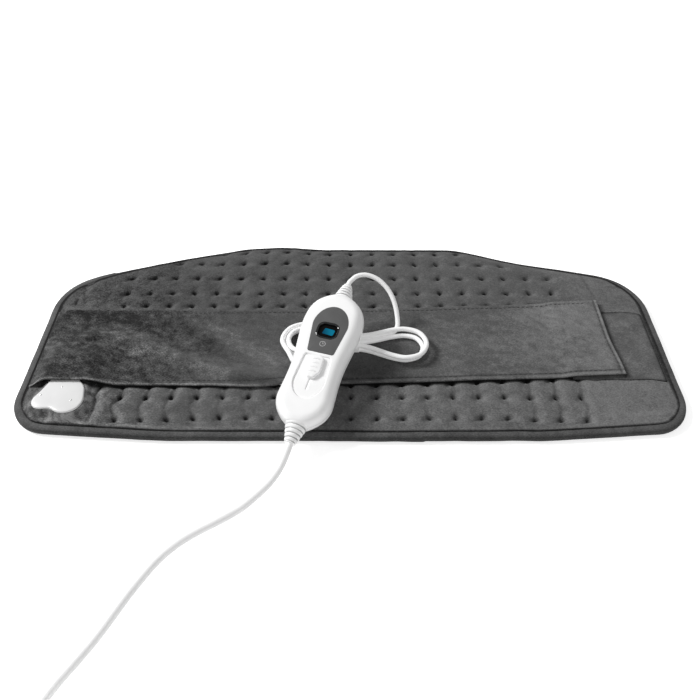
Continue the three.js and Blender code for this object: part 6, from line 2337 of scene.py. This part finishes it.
@dataclass
class Reliefs(Assembly):
    """Ribbed sleeves where the two cords leave the controller."""

    pose: ControllerPose
    groove_shade: float = -1.1
    sleeves: tuple[Sleeve, ...] = (
        Sleeve("thin_cord_sleeve", "pad_cord_relief", 64.6, 9.6, 4.0, 0.8),
        Sleeve("mains_cord_sleeve", "mains_cord_relief", -68.6, 10.3, 5.0),
    )

    def build(self) -> None:
        """Build both sleeves."""
        for sleeve in self.sleeves:
            profile = sleeve.profile()
            profile[:, 0] = sleeve.start + math.copysign(1.0, sleeve.start) * profile[:, 0]
            form = turned(profile)
            # Painted shade darkens the ring grooves.
            shade = self.groove_shade * sleeve.groove(np.abs(form.points[:, 1] - sleeve.start) / sleeve.length)
            self.maker.piece(sleeve.name, form.placed(self.pose.matrix()), self.finishes.case, Slot.WHITE_PLASTIC,
                             replaces=(sleeve.node,), sharp=60.0, shade=shade)


# Ties, plug and inner parts


@dataclass
class Tie(Assembly):
    """Soft tie round a bundle of cord.

    The section of its band holds places along the bundle and growths of the wall.
    """

    name: str
    node: str
    lay: TieLay
    wall: float = 0.5
    squareness: float = 0.55
    slant_trim: float = 3.4
    slant_half: float = 3.0
    section: tuple[Pair, ...] = (
        (-1.0, -1.0), (-0.9, -0.2), (0.0, 0.0), (0.9, -0.2), (1.0, -1.0), (0.9, -1.8), (0.0, -2.0), (-0.9, -1.8),
    )

    def build(self) -> Piece:
        """Build the tie as a rounded band.

        Returns:
            The new piece.
        """
        low, high = solid_box(self.node)
        middle, half = (low + high) / 2, (high - low) / 2
        if self.lay is TieLay.ALONG_PAD:
            side, run = np.array([0.0, 1.0, 0.0]), np.array([1.0, 0.0, 0.0])
            reach, breadth = half[1], half[0]
        else:
            slant = math.sqrt(0.5)
            side, run = np.array([slant, slant, 0.0]), np.array([-slant, slant, 0.0])
            reach, breadth = min(half[0], half[1]) * math.sqrt(2) - self.slant_trim, self.slant_half
        turn = np.linspace(0.0, 2 * math.pi, 64, endpoint=False)
        beside, above = (np.sign(wave) * np.abs(wave) ** self.squareness for wave in (np.cos(turn), np.sin(turn)))
        rings = []
        for along, grow in self.section:
            out = self.wall * 0.5 * grow
            rings.append(middle + np.outer(beside * (reach + out), side)
                         + np.outer(above * (half[2] + out), [0.0, 0.0, 1.0]) + run * breadth * along)
        return self.maker.piece(self.name, loft(np.array(rings), capped=False, loop=True), self.finishes.sheath,
                                Slot.WHITE_CORD, replaces=(self.node,), sharp=60.0)


@dataclass
class Plug(Assembly):
    """Flat two-pin plug at the far end of the mains cord."""

    sleeve: Sleeve = Sleeve("plug_sleeve", "plug_relief", 0.0, 8.3, 4.4)
    nose_length: float = 9.0
    nose_share: float = 0.42
    back_share: float = 0.94
    edge: float = 3.2

    def build(self) -> list[Piece]:
        """Build the plug's body and sleeve.

        Returns:
            The new pieces.
        """
        low, high = solid_box("plug_body")
        middle, half = (low[1] + high[1]) / 2, (high[1] - low[1]) / 2
        shoulder, nose, back = low[0] + self.nose_length, half * self.nose_share, half * self.back_share
        corners = [(low[0], middle - nose, 4.0), (shoulder, middle - half, 5.0), (high[0], middle - back, 2.2),
                   (high[0], middle + back, 2.2), (shoulder, middle + half, 5.0), (low[0], middle + nose, 4.0)]
        loop = even_steps(rounded_loop(corners), 0.8, closed=True)
        body = self.maker.piece("plug_moulding", plate(loop, low[2], high[2], self.edge, both=True),
                                self.finishes.case, Slot.WHITE_PLASTIC, replaces=("plug_body",), sharp=50.0)
        low, high = solid_box(self.sleeve.node)
        profile = self.sleeve.profile()
        profile[:, 0] *= (high[0] - low[0]) / self.sleeve.length
        profile[:, 1] *= (high[1] - low[1]) / 2 / profile[:, 1].max()
        turn = np.array([[0, -1, 0, high[0]], [1, 0, 0, (low[1] + high[1]) / 2],
                         [0, 0, 1, (low[2] + high[2]) / 2], [0, 0, 0, 1.0]])
        sleeve = self.maker.piece(self.sleeve.name, turned(profile).placed(turn), self.finishes.case,
                                  Slot.WHITE_PLASTIC, replaces=(self.sleeve.node,), sharp=60.0)
        return [body, sleeve]


class InnerParts:
    """Solids of the frame that keep their shape and get a finish."""

    def dress(self, finishes: Finishes) -> None:
        """Give each kept solid its finish.

        Args:
            finishes: Materials of the scene.
        """
        worn = {
            "heater_felt": finishes.felt, "heating_wire": finishes.red, "fuse": finishes.steel,
            "terminal_base": finishes.cover, "terminal_block": finishes.cover, "triac": finishes.black,
            "display_module": finishes.black, "slide_switch": finishes.black, "circuit_board": finishes.board,
            "suppressor_capacitor": finishes.red,
        }
        for name, count in (("thermal_cutout", 2), ("shell_screw", 4), ("plug_pin", 2)):
            worn |= {f"{name}_{index}": finishes.steel for index in range(1, count + 1)}
        for node, finish in worn.items():
            solid = bpy.data.objects[node]
            solid.data.materials.clear()
            solid.data.materials.append(finish)
            log.info("%s dressed", node)


def main() -> None:
    """Load the frame and build every piece in order."""
    logging.basicConfig(level=logging.INFO, format="%(message)s")
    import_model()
    studio, maker, finishes, pose = Studio(), Maker(), Finishes(), ControllerPose()
    studio.camera()
    pad_cord, mains_cord = PadCord(pose), MainsCord(pose)
    thin_route, mains_route = pad_cord.route(), mains_cord.route()
    thin = cord_curve("thin_cord", thin_route, pad_cord.diameter, finishes.sheath)
    maker.settle(thin, Slot.WHITE_CORD, replaces=("pad_cord_lead", "pad_cord_hank", "pad_cord_tail"))
    thick = cord_curve("mains_cord", mains_route, mains_cord.diameter, finishes.sheath)
    maker.settle(thick, Slot.WHITE_CORD, replaces=("mains_cord_lead", "mains_cord_coil", "mains_cord_end"))
    hank_tie = Tie(maker, finishes, "hank_band", "hank_tie", TieLay.ALONG_PAD).build()
    coil_tie = Tie(maker, finishes, "coil_band", "coil_tie", TieLay.SLANTED).build()
    plug = Plug(maker, finishes).build()
    studio.floor(finishes)
    studio.light()
    outline, belt_line = PadOutline(), BeltLine()
    terminal = Terminal(maker, finishes)
    quilt = QuiltedTop(maker, finishes, outline, belt_line, terminal.loop())
    quilt.build()
    EdgeTape(maker, finishes, outline).build()
    Underside(maker, finishes, outline).build()
    belt = Belt(maker, finishes, quilt, pad_cord, belt_line)
    band = belt.build_belt()
    patch = belt.build_patch()
    belt.build_hooks()
    terminal.build()
    face = Face(maker, finishes, pose)
    Case(maker, finishes, pose).build(face.window_loop())
    face.build()
    SlideKnob(maker, finishes, pose).build()
    Reliefs(maker, finishes, pose).build()
    InnerParts().dress(finishes)
    log.info("%d pieces made", maker.made)


if __name__ == "__main__":
    main()
